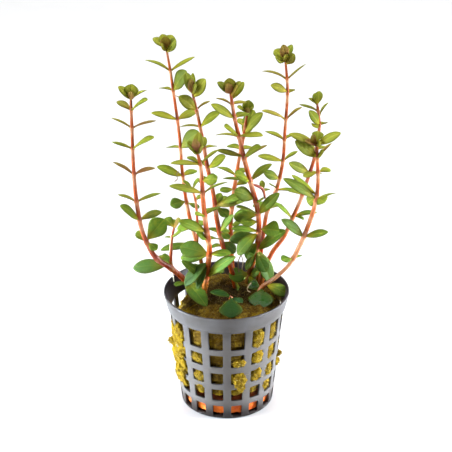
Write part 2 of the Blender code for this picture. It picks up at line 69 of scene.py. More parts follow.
# Each lamp: its place, what it is aimed at, its width in metres, its power in
# watts, its colour and how wide it spreads in degrees
LAMPS = {
    "left_light": ((-0.62, -0.15, 0.24), PLANT_MIDDLE, 0.4, 7.0, (0.94, 0.97, 1.0), 180.0),
    "right_light": ((0.62, 0.0, 0.26), PLANT_MIDDLE, 0.4, 7.0, (0.97, 0.98, 1.0), 180.0),
    "low_left_light": ((-0.46, -0.02, 0.07), POT_MIDDLE, 0.12, 0.22, (0.70, 0.85, 1.0), 24.0),
    "low_right_light": ((0.46, -0.02, 0.07), POT_MIDDLE, 0.12, 0.16, (0.76, 0.88, 1.0), 24.0),
    "top_light": ((-0.05, 0.4, 1.1), (-0.05, 0.4, 0.0), 1.4, 18.5, (1.0, 1.0, 1.0), 180.0),
}

# Net pot
POT_HEIGHT = 49.0 * MM
RIM_RADIUS = 25.0 * MM
WALL_TOP_RADIUS = 23.6 * MM
WALL_BASE_RADIUS = 18.6 * MM
WALL_THICKNESS = 0.9 * MM
COLLAR_THICKNESS = 0.9 * MM
FLOOR_THICKNESS = 1.2 * MM
COLLAR_DEPTH = 6.5 * MM
COLLAR_TAPER = 1.3 * MM
COLUMNS = 16
RIB_WIDTH = 3.1 * MM
# Bottom and top edge of each row of windows, measured up from the table
WINDOW_ROWS = [(0.9, 6.3), (8.8, 14.4), (16.9, 22.3), (25.2, 30.9), (33.4, 41.5)]
WINDOW_ROWS = [(low * MM, high * MM) for low, high in WINDOW_ROWS]
# Into how many cells a rib and a window are divided across
RIB_STEPS = 2
WINDOW_STEPS = 4
WINDOW_CORNER = 0.45 * MM
EDGE_BEVEL = 0.12 * MM
FLOOR_RINGS = (3.0 * MM, 8.0 * MM, 15.0 * MM)
FOOT_ROUNDING = 0.4 * MM
RIM_ROUNDING = 0.25 * MM

# Orange disc on the floor of the pot
DISC_LOW = 1.55 * MM
DISC_HIGH = 6.95 * MM
DISC_GAP = 0.4 * MM
DISC_AROUND = 180
DISC_ROUGHNESS = 0.35 * MM
DISC_CHAMFER = 0.4 * MM

# Rock wool plug
PLUG_BASE = 11.0 * MM
PLUG_SHOULDER = 41.5 * MM
PLUG_TOP = 45.4 * MM
PLUG_GAP = 0.5 * MM
PLUG_SINK = 4.8 * MM
SINK_START = -6.0 * MM
SINK_END = -20.0 * MM
MOUND_HEIGHT = 3.0 * MM
MOUND_SPREAD = 7.0 * MM
MOUND_CENTRE = Vector((-3.0, 13.0)) * MM
RIGHT_MOUND_CENTRE = Vector((19.0, 2.0)) * MM
RIGHT_MOUND_HEIGHT = 1.8 * MM
# How yellow the top of the wool is at least, and its yellow patches, each as
# its middle, its reach and how yellow it is there
TOP_GOLD = 0.05
GOLD_PATCHES = [(13.0 * MM, -17.0 * MM, 6.0 * MM, 0.6), (-17.0 * MM, -4.0 * MM, 4.5 * MM, 0.5)]
# Painted shadow: the dark patch on the top of the wool in among the feet of the shoots, where the leaves
# shade it
FOLIAGE_SHADOW_MIDDLE = (1.0 * MM, 2.0 * MM)
FOLIAGE_SHADOW_REACH = (13.0 * MM, 9.0 * MM)
# How far the top of the wool falls away close to the wall, and gently all over
SHOULDER_DROP = 3.3 * MM
TOP_CROWNING = 0.6 * MM
WOOL_AROUND = 320
WOOL_SIDE_ROWS = 78
WOOL_TOP_ROWS = 46
WOOL_FIBRES = 1700
# The share of the fibres that hang in the windows; the others lie on the top,
# out to this reach. Lengths and radii are the least and the most, in millimetres.
WINDOW_FIBRES = 0.7
TOP_FIBRE_REACH = 20.0 * MM
FIBRE_LENGTH = (1.0, 2.6)
FIBRE_RADIUS = (0.04, 0.09)
TUFT_FIBRE_LENGTH = (0.5, 1.5)
TUFT_FIBRE_RADIUS = (0.04, 0.08)
# How far the wool bulges out of each window, in millimetres, and how yellow
# it is there. Columns count to the right from the rib nearest the viewer,
# rows count up from the lowest.
WOOL_WINDOWS = {
    (-4, 4): (1.4, 1.0), (-4, 3): (1.4, 1.0), (-4, 2): (1.2, 0.9), (-4, 1): (0.6, 0.5),
    (-3, 4): (1.4, 1.0), (-3, 3): (1.2, 1.0), (-3, 2): (1.0, 1.0), (-3, 1): (0.5, 0.4),
    (-2, 4): (0.2, 0.1), (-2, 3): (1.0, 0.9), (-2, 2): (0.9, 0.8), (-2, 1): (0.7, 0.8),
    (-1, 4): (0.1, 0.2), (-1, 3): (0.1, 0.05), (-1, 2): (0.2, 0.2), (-1, 1): (0.4, 0.5),
    (0, 4): (0.3, 0.2), (0, 3): (0.5, 0.5), (0, 2): (0.8, 0.8), (0, 1): (0.6, 0.7),
    (1, 4): (0.8, 0.8), (1, 3): (0.9, 0.9), (1, 2): (0.9, 0.9), (1, 1): (0.4, 0.4),
    (2, 4): (0.8, 0.8), (2, 3): (1.0, 0.9), (2, 2): (1.0, 0.9), (2, 1): (0.7, 0.7),
    (3, 4): (0.4, 0.4), (3, 3): (1.0, 0.9), (3, 2): (1.0, 0.8), (3, 1): (0.5, 0.5),
}
OTHER_WINDOW = (0.8, 0.6)
# Tufts of the wool that spill out over the bars of the pot: the angle round
# the pot in degrees from the front, the height, half the width, half the
# height and how far out they stand in millimetres, and how yellow they are.
WOOL_TUFTS = [
    (14.2, 18.6, 2.9, 3.6, 1.3, 1), (16.2, 15.4, 1.9, 2.6, 1, 1), (13.4, 27.2, 2.3, 1.8, 0.9, 0.95),
    (35, 37.3, 2.4, 3.6, 0.7, 0.8), (33, 34.6, 2.4, 1.7, 0.9, 0.95), (35, 28.2, 2.6, 3, 0.8, 0.9),
    (34.4, 19.7, 2.6, 2.8, 0.9, 0.9), (55, 37.4, 2, 3.8, 0.4, 0.45), (53.5, 28.2, 2, 3.3, 0.6, 0.6),
    (52, 19.6, 2.2, 3.2, 0.8, 0.7), (51.5, 12.8, 2.2, 2.2, 0.8, 0.8), (80, 21.8, 1.6, 1.4, 1.9, 0.9),
    (79, 17.9, 1.6, 1.7, 1.3, 0.8), (-34.5, 28.4, 2.2, 2.2, 0.5, 0.9), (-33.6, 19.4, 2, 2.2, 0.4, 0.8),
    (-32.5, 14.2, 2, 1.2, 0.5, 0.8), (-66, 33.4, 5.8, 4.8, 1.2, 0.85), (-62, 35.4, 3.4, 4, 1.1, 0.8),
    (-85, 26.8, 1.8, 1.8, 2.7, 0.9), (-71, 22.6, 6.8, 4.9, 1.7, 0.8), (-63, 25, 3.4, 3.4, 1.2, 0.85),
    (-71, 14.4, 6, 5, 1.4, 0.8), (-62, 17.6, 3.2, 3.6, 1.1, 0.85), (120, 28, 2.8, 3.2, 1, 0.9),
    (-120, 19, 2.6, 3, 1, 0.9), (-146, 28.5, 2.6, 3.2, 1.2, 0.9), (168, 37.5, 2.6, 3.6, 0.8, 0.8),
    (146, 20, 2.4, 2.8, 0.9, 0.9), (-170, 19.5, 2.4, 2.6, 1, 0.9),
]
TUFT_AROUND = 56
TUFT_ROWS = 30
TUFT_FIBRES = 90
# How far the middle of a tuft lies inside the wall, in millimetres, and how
# much its coarse and fine lumps add to its size
TUFT_SINK = 0.35
TUFT_LUMPS = (0.34, 0.22)

# Leaves
# How much further back or forward each tip is swung than its row says, and how
# much lower that puts it, so that it looks the same to the viewer
DEPTH_SWING = 2.5 * MM
SIGHT_SLOPE = 0.42
LEAF_ROWS = 13
LEAF_COLUMNS = (-1.0, -0.82, -0.5, -0.16, 0.0, 0.16, 0.5, 0.82, 1.0)
LEAF_THICKNESS = 0.46 * MM
PETIOLE_WIDTH = 0.7 * MM
PETIOLE_THICKNESS = 0.6 * MM
LEAF_ARCH = 0.055
# The least and the most that leaves differ in: arch as a share of the usual
# one, twist in degrees, and fold, curl and wave as shares of half the width
ARCH_SPREAD = (0.6, 1.5)
TWIST_SPREAD = (-9, 9)
FOLD_SPREAD = (0.03, 0.16)
CURL_SPREAD = (-0.10, 0.06)
WAVE_SPREAD = (0.0, 0.05)
# How much wider a level leaf is than its row says, down to no wider at full tilt
SIDE_LEAF_WIDENING = 1.35
FULL_TILT = math.radians(35)
YOUNG_HEIGHT = 125.0 * MM
OLD_HEIGHT = 52.0 * MM
# Leaves whose foot is lower than this are dark and glossy
GLOSSY_BELOW = 47.7 * MM

# Thin roots and dried stalks: the shoot each belongs to, its radius, how pale
# it is, from 0 for brown to 1 for white, and the points it passes through, in
# millimetres
THREADS = {
    "white_root": ("shoot_far_left", 0.22, 1.0, [
        (-21.3, 5.5, 54.5), (-21.2, 4.0, 53.0), (-20.9, 3.0, 51.0),
    ]),
    "curled_stalk": ("shoot_back_left", 0.2, 0.25, [
        (-18.4, 17.0, 92.8), (-19.4, 16.0, 92.2), (-19.1, 16.0, 90.0), (-20.2, 15.0, 89.4),
    ]),
    "yellow_stalk": ("shoot_centre", 0.24, 0.15, [
        (9.8, 2.0, 50.7), (8.6, 0.0, 50.4), (8.3, -2.0, 49.6), (9.3, -4.0, 49.8),
    ]),
    "brown_stalk": ("shoot_centre", 0.25, 0.1, [
        (7.1, 10.0, 60.5), (5.5, 9.0, 58.8), (4.7, 8.0, 56.1), (5.1, 7.0, 53.0),
    ]),
    "thin_stalk": ("shoot_middle_back", 0.2, 0.3, [
        (6.0, 12.0, 58.1), (6.8, 12.0, 55.0), (6.3, 11.0, 51.8),
    ]),
}
THREAD_STEPS = 4
THREAD_SIDES = 8

# Stems
STEM_SIDES = 14
LOW_STEM_FULLNESS = 1.1
HIGH_STEM_FULLNESS = 1.14
STEM_STEP = 0.7 * MM
NODE_SWELLING = 0.22
NODE_REACH = 0.9 * MM
# Leaves whose feet are closer together than this share one node
SAME_NODE = 2.2 * MM
# How far the next node is taken to be below the lowest and above the highest
LOWEST_GAP = 12 * MM
HIGHEST_GAP = 8 * MM
TIP_TAPER = 1.2 * MM
# Between which heights a stem turns darker, or paler, towards its foot, and
# over which shares of its length it turns amber
DARK_FOOT = (74.0 * MM, 62.0 * MM)
PALE_FOOT = (92.0 * MM, 72.0 * MM)
AMBER_FOOT = (0.21, 0.11)
PALEST_STAGE = 1.2
# How dark a red each stem is, from 0 for pale pink to 1 for dark red, and how
# much darker it turns low down or, below zero, how much paler
STEM_REDNESS = {
    "shoot_far_left": (0.45, 0.9), "side_shoot_left": (0.4, 0.3), "shoot_back_left": (0.0, 0.2),
    "side_shoot_back": (0.2, 0.0), "shoot_left_centre": (0.35, 0.6), "shoot_centre": (0.4, 0.0),
    "side_shoot_centre": (1.0, 0.0), "shoot_front_left": (0.2, 0.0), "shoot_middle_back": (0.1, 0.0),
    "shoot_back_right": (0.2, 0.3), "shoot_far_right_back": (0.5, -0.4), "shoot_far_right": (0.05, -0.5),
    "low_sprig_front": (0.4, 0.0),
}

# Each shoot has its stem, as (x, y, z, radius) in millimetres from foot to
# tip, and its leaves, as the height of the leaf's foot on the stem, the
# reach of its tip from there in x, y and z, its width, and how many degrees
# its face is turned from straight up towards the front. A seventh number is
# how much the leaf blushes, red-brown if broad and pink if slim, or, below
# zero, how dark a green it is: the leaf's own darker green together with
# painted shade where other leaves shade it. The crown and the
# filling are further leaves, folded round the growing tip and crowded where no
# joint of the stem shows.
SHOOTS = {
    "shoot_far_left": {
        "stem": [
            (-13, 9, 40, 1), (-16, 8, 48, 1), (-21.5, 4, 56, 1), (-27.5, 1, 62.5, 0.95),
            (-31, -1, 70.5, 0.85), (-33, -2, 78, 0.8), (-34.5, -3, 92, 0.7), (-35, -3, 108, 0.6),
            (-35, -3, 120, 0.55), (-35, -3, 131.5, 0.45),
        ],
        "leaves": [
            (126.5, -5.5, 0.5, 3.5, 3, 14, 0.3), (126.5, 6.5, -1.5, 4.5, 4.6, 16, -0.15),
            (119.5, -7.8, 0.1, 4.1, 3.4, -16, 0.2), (119.5, 9.1, 0.1, 2.8, 3.4, -12, 0.6),
            (111, -7.9, 0.1, 2.9, 3.4, -10), (111, 8.5, -1.5, 5, 4.8, 12, -0.2),
            (100.5, -8.1, 0.1, 5.1, 3.2, -10, 0.6), (100.5, 8.1, 0.1, 2.4, 3.2, -2, 0.8),
            (89, -7.3, 0, 2.9, 3.4, -14, 0.2), (89, 9.3, 0.1, 3.3, 3.4, -6, 0.1), (81, -7, -2, 7, 5, 25),
            (81, 8.6, 0.1, 3.2, 3.6, 18, 0.15), (71.5, 7.5, 0, 9, 8, 50), (70.5, -3.9, 0.5, 4.6, 4, 25),
            (70.5, 4, -0.1, -3.1, 3.6, 22), (58.2, -13.7, 0.1, -1.2, 6.2, 44, -0.6),
            (62, 4.7, 0.1, 0.7, 3.6, 30), (56.5, -5.2, 0.5, 5.2, 4.5, 30),
            (49, 8.6, -12, -5, 6.2, 26, -0.4),
        ],
        "crown": [
            (131, 0.8, -0.1, 5.8, 5.6, 50, 0.06), (131, 0.6, -1, 3.2, 2.6, 55, 0.73),
            (131, -4.4, -0.1, 4.7, 3.6, 30, 0.04), (131, 5.9, 0.5, 3.4, 3.4, -14, 0.04),
        ],
        "filling": [(48.5, -4, -3.5, -0.1, 3, 0)],
    },
    "side_shoot_left": {
        "stem": [
            (-21.4, 4.2, 56, 0.75), (-22.2, 6, 57.6, 0.75), (-22, 7.5, 63, 0.65), (-21.5, 9, 68, 0.5),
            (-20.5, 10, 72, 0.5),
        ],
        "leaves": [(68, 3.7, -0.5, 2.5, 3.4, 20, 0.2), (67.5, -2.9, 0.5, 0.1, 1.6, 0)],
        "crown": [
            (71.6, -3.7, 0.5, 3.9, 4.4, 35, 0.06), (71.6, 2.7, -0.5, 4.2, 3.6, 30, 0.73),
            (71.6, -0.5, 0.5, 3.4, 3, 45, 0.16),
        ],
    },
    "shoot_back_left": {
        "stem": [
            (-8, 14, 39.5, 0.8), (-9.5, 14, 50.5, 0.8), (-12, 15.5, 62, 0.75), (-15, 17, 75, 0.7),
            (-17, 18, 90, 0.6), (-18, 18, 108, 0.55), (-20, 18, 126.5, 0.5), (-21, 18, 135, 0.45),
            (-22.3, 18, 144, 0.4),
        ],
        "leaves": [
            (134.5, -9.7, 0.5, 4.4, 3.6, -8), (134.5, 9.5, 0.1, 5.7, 3.4, -2),
            (126.5, 5.5, -1, 8, 7, 36, -0.45), (126.5, -5.5, 1.5, 0.5, 3.6, -10, 0.1),
            (114.5, -10, -1, 3, 3.6, 26), (114.5, 7.5, 2, 3, 3.8, 26), (102.5, 7.5, -1, 7, 7, 38, -0.5),
            (102.5, -5.5, 3, -1, 3.6, -4), (90.5, -10, -0.5, 4.1, 5.2, 20), (90.5, 5.5, 3, 1, 3.2, 14),
            (79.5, -6.4, -0.5, -1.3, 5.2, 42, -0.45), (79, 5, -0.5, -2.2, 3.2, -4, -0.3),
            (68, 4.5, 3.5, 1.5, 4, 10), (68, -6.2, 0.5, 0.2, 4.8, 35),
        ],
        "crown": [
            (143.6, -0.3, -0.6, 4.6, 4.2, 55, 0.77), (143.6, -5.1, 0.1, 4.3, 3.4, 30, 0.05),
            (143.6, 3.3, 1, 3.1, 3.2, 30, 0.05), (143.6, -1.6, 0.1, 5.8, 4, 45, 0.12),
            (143.6, 2.2, 0.5, 5.3, 4.4, 40), (142.5, -2, -0.5, 3.1, 3.4, 40, 0.35),
            (142, 3.6, -0.1, 4.9, 4.4, 44, -0.1),
        ],
        "filling": [(61, -14.5, -3.5, -0.3, 4, 10)],
    },
    "side_shoot_back": {
        "stem": [
            (-11.8, 15, 60.5, 0.5), (-11.4, 13.2, 69, 0.48), (-11.6, 11.5, 78, 0.45), (-12, 11, 83, 0.4),
            (-13.2, 10.8, 88, 0.35),
        ],
        "leaves": [(87.5, -3.7, 0.1, 4.2, 3.2, -16), (83, 3.5, 1.5, 1.5, 2.5, 0)],
        "crown": [(87.5, 2.4, 0.1, 5.2, 3.4, -20, 0.04)],
    },
    "shoot_left_centre": {
        "stem": [
            (4.2, 8, 40, 1), (3.3, 7.8, 48, 1), (1.2, 7.4, 57, 0.95), (-1.2, 7, 64.5, 0.9),
            (-3.5, 6, 76.5, 0.85), (-5, 5, 89.5, 0.75), (-7, 4, 100.5, 0.7), (-8.5, 4, 110.5, 0.6),
            (-10, 4, 119.5, 0.55), (-12.3, 4, 131, 0.45),
        ],
        "leaves": [
            (124, -6.5, -1, 5.5, 5, 50, 0.1), (124, 5.2, 0.1, 3.4, 3.4, -18, 0.6),
            (123, -8.5, 3.5, 5.5, 3.4, -26, 0.8), (117, -8, 1, -0.5, 3, -8, 0.15),
            (117, 7.5, -1, 5.5, 5.2, 24, -0.12), (108, 4.5, 2, 0, 3.4, -8), (108, -4.5, 3, 1.5, 3.4, -18),
            (100, 7, -1, 5, 5.4, 28, -0.15), (100, -4, 3.5, 2, 3.4, -26), (93.5, 2.6, -1.5, 3.2, 3.6, 48),
            (83, 13.7, -0.1, 5.9, 4, 36, -0.3), (82.5, -4.8, -0.1, -2.6, 3.6, -16),
            (71.5, 5.7, -0.1, 7.4, 3.6, 30), (70.5, -4.5, 4, 0.5, 3, -10), (59.5, -4.6, 0.1, 2.1, 3.4, -12),
            (93.5, -4.8, 0.1, 1.4, 3.6, 20),
        ],
        "crown": [
            (130.6, -2.4, -0.1, 8, 4, 34, 0.05), (129, 4.7, -0.2, 7, 5.2, 42),
            (130.6, 0.2, 0.1, 8.1, 1.8, 10, 0.04), (130.6, -0.8, -0.1, 5.4, 3, 30, 0.77),
            (130.4, 1.6, -0.6, 3.8, 2.6, 40, 0.12),
        ],
        "filling": [
            (82.5, 5.2, -0.5, -3.7, 4.2, 20, -0.4), (64.5, -5.1, 0.5, -0.4, 3.4, 4),
            (71, 3.7, -0.5, -2.7, 3, 10), (49, 2.4, -0.5, -8.6, 3.6, -14),
            (83.5, 8.6, -0.5, 0.7, 3.6, 34, 0.3), (83, 2.4, 0.5, 5.3, 3.4, 30, 0.1),
            (66.5, 5.5, 0.1, -4.7, 4.6, 44, -0.5),
        ],
    },
    "shoot_centre": {
        "stem": [
            (7.5, 11, 40, 1), (9, 11.5, 48.5, 1), (12, 8.5, 62, 1), (13, 6, 73.5, 0.95), (12, 4, 84, 0.9),
            (10, 3, 92.5, 0.85), (7.5, 2, 103, 0.8), (5.5, 1, 112.5, 0.7), (3.5, 0, 122, 0.6),
            (2, 0, 132.5, 0.5),
        ],
        "leaves": [
            (127.5, -6.1, 0.1, 2.6, 3.4, -16, 0.6), (127.5, 5, 3, 0, 3, 0, 0.3),
            (122, -8.8, -0.5, 5.6, 3.8, 42, -0.1), (122, 5, 4, 0.5, 4, 5), (114.5, 9, -2, 0.5, 4.2, 5),
            (114.5, -5.5, -2, 4.5, 4.8, 22, 0.1), (114, -9, 3, -0.5, 3.4, -10, 0.1),
            (105.5, -10.2, -0.1, 2.6, 3.4, 12, 0.15), (105.5, 6.5, -2, 4.5, 5.2, 25, 0.1),
            (104.5, 9, 4, 4, 3, -15, 0.5), (95, 8.5, 1, 6.5, 3.4, 16, -0.1), (95, -6, -3, 4, 5.8, 35),
            (87, -8.1, -1.5, 4, 6, 46, -0.35), (85.5, 2.7, -0.5, 1.3, 3.4, 20),
            (80, 8.2, -1.5, 9.5, 4.4, 48), (80, -8.5, -2.5, 4, 4.4, 0, 0.1),
            (72.5, 7.9, -0.1, -0.7, 7.8, 34), (71.5, -10.9, -3.1, 2.7, 3.4, 26),
            (62.5, 11.5, -1.5, 9, 6, 25), (61, 4, -2.5, -7.5, 5.8, 32, -0.6), (60, -4, -2.5, 2.5, 4.5, 10),
            (50, -8.3, -3, 0.4, 6.6, 46, -0.1),
        ],
        "crown": [
            (131.8, -0.6, -0.1, 6, 5, 52, 0.35), (131.8, -1.4, -1.2, 4.2, 3.4, 55, 0.91),
            (131.8, -5, -0.1, 4.3, 3.6, 38, 0.04), (131.8, 3.9, -0.1, 4.4, 3.4, 28, 0.2),
            (130.8, 2.6, -1, 4.2, 3.6, 32, 0.6), (129.5, 4.7, 0.1, 6.9, 3.4, 32, -0.15),
        ],
        "filling": [
            (79, -9.7, 0.5, -0.9, 6, 35, -0.35), (76, -7.3, -0.5, -0.1, 5, 25, 0.1),
            (69, -11.5, 0.1, -1.8, 5.2, 48, -0.55), (70.5, -8.3, -0.1, -9.4, 5.4, 20, -0.3),
            (62, 5.9, -0.5, -14.3, 5.6, 20, -0.6), (49.5, 2.5, -3.5, -5.3, 4, 35),
            (94.5, -10.6, 0.5, 1.2, 3.4, -10), (49.6, 4.2, -2.5, 3.1, 4.4, 48, -0.05),
            (60.5, -3.8, -0.1, -7.2, 3, 22, -0.3), (66, -4.5, -0.5, -7, 4.2, 22, -0.4),
        ],
    },
    "side_shoot_centre": {
        "stem": [
            (15.3, 6.5, 85.8, 0.4), (14.5, 5.5, 89.7, 0.45), (12.8, 4.6, 91.6, 0.5),
            (10.4, 3.2, 93.2, 0.55),
        ],
        "leaves": [(89.6, -0.5, 0.1, 4.2, 2.2, 30, 0.2), (89, 2.2, 0.5, 0.8, 2, 0)],
    },
    "shoot_front_left": {
        "stem": [
            (-9.5, 2.5, 40, 1.05), (-8.8, 1.5, 48, 1.05), (-7, -2, 62.5, 1), (-6.5, -4, 69, 0.95),
            (-7.5, -6, 78, 0.9), (-8.5, -7, 89, 0.8), (-9, -8, 100, 0.7), (-9.5, -8, 106.5, 0.6),
            (-10.8, -8, 112.5, 0.5),
        ],
        "leaves": [
            (106.5, -11.1, -0.1, 0.6, 3.4, 8, 0.1), (106.5, 7.1, 0.1, 5.9, 3.4, -12, 0.1),
            (94.5, -12.5, -2, 4, 3.4, 36, 0.1), (94.5, 9.6, 0.1, 4.4, 3.4, -14),
            (85, 6.5, 0.1, 3.3, 3.4, -12), (84.5, -3.5, -3, 2, 3.4, 30), (77.5, -10.7, -0.5, 5.1, 4.2, 50),
            (73.5, -4.7, -0.5, 4, 5, 25), (73.5, 4, 3, -1.5, 4, 0), (66.5, 8.6, -0.5, 0.5, 3.8, 22),
            (66, -11.5, 3, 1.8, 7.4, 44, -0.5), (54, -9.5, -2, 9, 3.6, 50),
            (55, 11.7, -3.5, 10.5, 5.2, 36, -0.15),
        ],
        "crown": [
            (111.8, 0.9, -0.1, 7.8, 4.2, 50, 0.12), (111.8, -0.6, -1.2, 5.6, 3.2, 52, 0.91),
            (111.8, -3.6, -0.1, 3.9, 3.8, 40, 0.06), (111.8, 3.2, 0.1, 5.8, 3.8, 40, 0.16),
            (111, 2.2, -0.5, 3.2, 3, 40, 0.35), (111, -2.3, -0.5, 1.6, 3.2, 40, 0.08),
        ],
        "filling": [
            (66, -11.4, 0.1, -1.7, 5.2, 48, -0.3), (60.5, -4.4, -0.1, -10.2, 3, 24, -0.7),
            (62, -9.3, -0.1, -10.1, 5, 22, -0.8), (106.5, -5, 0.1, 3.1, 3.4, -8),
            (100, 5.9, -0.9, 0.8, 5, 50, -0.1), (58, -7.6, 0.1, -0.1, 5.2, 50, -0.5),
            (57.5, 6.7, 0.5, 0.9, 5, 34, -0.3),
        ],
    },
    "shoot_middle_back": {
        "stem": [
            (2.5, 14.5, 39.5, 0.9), (2.5, 14, 50, 0.9), (2, 13.5, 62, 0.85), (2, 13, 74, 0.8),
            (3.5, 12.5, 88, 0.7), (5.5, 11.5, 101.5, 0.6), (7, 10.5, 110, 0.55), (8.5, 10, 120.5, 0.45),
        ],
        "leaves": [
            (112, 7.1, -0.5, 8, 5, 30), (114.5, -2.5, 3.5, 2, 3, 24), (110, 4.1, 0.5, 11, 5.4, 32),
            (104.5, 5.5, 3.5, -1, 3.5, 5), (104.5, -5, 3, 0.5, 3.5, 0), (93, -7.5, 1.5, 3, 3.2, -6),
            (93, 4.5, 4, 1, 3.5, 0), (87, -5.7, -0.1, -0.6, 3.4, 18), (79, -5.5, 1, 3.5, 4.5, 10),
            (79, 4.5, 4, 1.5, 4, 0), (66, -5.5, 3, 1.5, 4, 0), (66, 6, 3, 1, 4, 0),
        ],
        "crown": [
            (120.1, 0.6, -0.1, 5.2, 4.6, 50, 0.04), (120.1, -3.9, -0.5, 2.5, 3, 25, 0.08),
            (120.1, 2.1, -0.5, 2.5, 3.4, 45, 0.04), (120.1, 0.2, -1.4, 2.6, 2.4, 50, 0.64),
        ],
        "filling": [
            (88.5, 4.9, 0.5, 1.7, 3.2, 10), (71, 4.7, -1.5, 2.2, 5, 25), (68, -3.6, -0.5, 2.1, 3.2, 10),
        ],
    },
    "shoot_back_right": {
        "stem": [
            (12, 13, 39, 0.8), (13.2, 13.5, 50, 0.8), (15.2, 15, 68, 0.75), (16.8, 15.5, 77, 0.75),
            (20.2, 16, 85.5, 0.7), (22.5, 16, 97, 0.6), (23.2, 16, 110, 0.55), (24, 16, 127, 0.5),
            (23, 16, 140, 0.4),
        ],
        "leaves": [
            (131.5, -9.5, 0.5, 3.2, 3.4, -12, 0.3), (131.5, 7.3, 0.1, 6.2, 3.2, -14, 0.2),
            (126.5, -6.6, -0.5, 2.5, 4, 44, 0.15), (125.5, 2, 4, 0.5, 3, 0, 0.3),
            (115, -9.5, -1.5, 4, 3.4, 10, 0.3), (115, 6.4, 0.1, 5.1, 3.2, -14, 0.45),
            (106.5, -7.5, 1.5, 3, 3.6, -6, 0.1), (106.5, 3.4, 0.1, 1.8, 3.4, -16),
            (97.5, -10, -1, 2.5, 3.4, 24, 0.1), (97.5, 5.9, 0.1, 4.1, 3.4, -12),
            (90, -6.4, -0.5, 2.6, 4.2, 44, -0.25), (85, 10, 0.1, -1.3, 3.4, -4),
            (76.5, -5, 2.5, 1.5, 4.5, 5), (76.5, 5, 3.5, 1, 4.5, 5),
        ],
        "crown": [
            (139.6, -1.1, -0.2, 5.6, 3.8, 40, 0.75), (139.6, -4.2, 0.1, 3.8, 4, 42, 0.04),
            (138.5, -4.1, -0.5, 1.9, 4, 45, 0.04), (137.5, 3.2, -0.1, 3.9, 4.2, 50, 0.45),
            (139.6, 2.6, 0.5, 5.8, 2.8, 30), (139, -0.4, -0.6, 2.4, 3, 46, 0.4),
        ],
        "filling": [(86, -3, -0.5, 1.6, 2.6, 10)],
    },
    "shoot_far_right_back": {
        "stem": [
            (13.5, 7.5, 39.5, 0.85), (15, 9.5, 51, 0.85), (18.5, 11.5, 59.5, 0.85), (23, 12, 66, 0.8),
            (26.5, 12, 74.5, 0.75), (29.5, 11, 83, 0.7), (32, 10, 92, 0.65), (34.5, 9, 102, 0.6),
            (36, 8, 115, 0.5), (35, 8, 124.5, 0.45),
        ],
        "leaves": [
            (121.5, -7.1, 0.1, 2.7, 3.2, -10, 0.1), (116, -4.3, -0.5, 5.8, 3.6, 50, -0.1),
            (115.5, 2.4, 0.1, 1.3, 3.4, -8, 0.1), (115.5, -2.7, -0.1, -0.4, 3.2, 22, 0.1),
            (105, 4, 2.5, 0.5, 3.5, 0), (105, -4.5, 3, 0.5, 3.5, 0), (95, -8.4, -0.5, 4.5, 4, 50, 0.1),
            (95, 4, 3, -1.5, 4, 0), (85, 4, 2, 1, 4, 0), (85, -4, 4, 0.5, 4, 0),
            (74.5, -7.4, -1.5, 7.4, 3.2, 22, -0.3), (75, 9.7, 0.5, 1.5, 3.2, 0),
            (75, 4.2, 0.5, -0.5, 3.8, 15),
        ],
        "crown": [
            (124, 0.9, 0.5, 5.5, 3.2, 32, 0.05), (124, -2.8, 0.5, 2.7, 3.4, -12, 0.18),
            (123.5, -0.5, 0.1, 3.9, 3.2, 26, 1), (124, -0.9, 0.7, 4.6, 2.4, 22, 0.04),
            (124, 1.5, 0.1, 3.4, 3.6, -28, 0.35),
        ],
        "filling": [(119.5, 3.8, 0.2, 5.4, 3.4, -22)],
    },
    "shoot_far_right": {
        "stem": [
            (11, 2.5, 40, 0.85), (14, 3.5, 47.5, 0.8), (20, 2, 53.5, 0.75), (24.5, -1, 60, 0.7),
            (28, -3, 68, 0.85), (31.5, -4, 78, 0.8), (34, -5, 87.5, 0.75), (35, -6, 97, 0.65),
            (34.5, -6, 108, 0.55), (34.2, -6, 114, 0.5),
        ],
        "leaves": [
            (108.5, -8.6, -0.5, 6.6, 5.2, 44), (108, 5.6, 0.1, 6, 3.4, -14, 0.6),
            (108, 2.3, -0.5, 3, 3.2, 32, 0.3), (102, -5.6, -0.1, -1.7, 3.4, 5, 0.15),
            (102, 4.9, 0.5, 1.2, 3.2, 10), (91, -12.9, -0.5, 8.6, 4.2, 42, -0.35),
            (92.5, -9.6, 0.1, 8.3, 3, 6), (91, 3, -0.0, -1.9, 5.6, 22), (91.5, -3.2, 0.1, -2.6, 4.4, 52),
            (90, 8, 2, 2, 3.4, -18), (74, -9, -0.5, 7.7, 4.4, 38, -0.55), (74, 9.2, -0.5, 2.2, 3.6, 34),
            (63.5, -4.7, -0.5, -0.2, 4, 20), (63.5, 3.5, 4.5, -1, 2.4, 0),
            (49.2, 9.3, -0.1, -4.3, 5.6, 28, 0.1), (47.5, -0.6, -8.4, -4.4, 9.8, 32),
            (47.6, -5, 0.1, 1.5, 4.8, 30),
        ],
        "crown": [
            (114, 0.6, 0.1, 4.9, 4.6, 48, 0.06), (114, -2.4, -0.1, 2.9, 3.4, 45, 0.82),
            (113, -4.6, -0.5, 2.1, 3, 30, 0.91), (113.5, -10.6, -0.1, 4.3, 3.8, 36, 0.12),
            (113.5, 8.6, -1.5, 5.1, 4, 44, 0.05), (113, 1.4, -0.6, 1.6, 3, 50, 0.14),
        ],
    },
    "low_sprig_front": {
        "stem": [(1.5, -4, 40.5, 0.7), (1.8, -5, 47, 0.7), (1.6, -5.6, 49, 0.6)],
        "leaves": [
            (48.4, 0, -8.4, -4.4, 7, 0, -1.15), (48.4, -8, 0.5, 1.8, 3.4, 12, -0.95),
            (47.8, 4.6, -0.5, -1.4, 3, 6, -0.95),
        ],
    },
}


def put_in_scene(name, data):
    """A new object in the scene that shows this mesh, lamp or camera."""
    item = bpy.data.objects.new(name, data)
    bpy.context.scene.collection.objects.link(item)
    return item


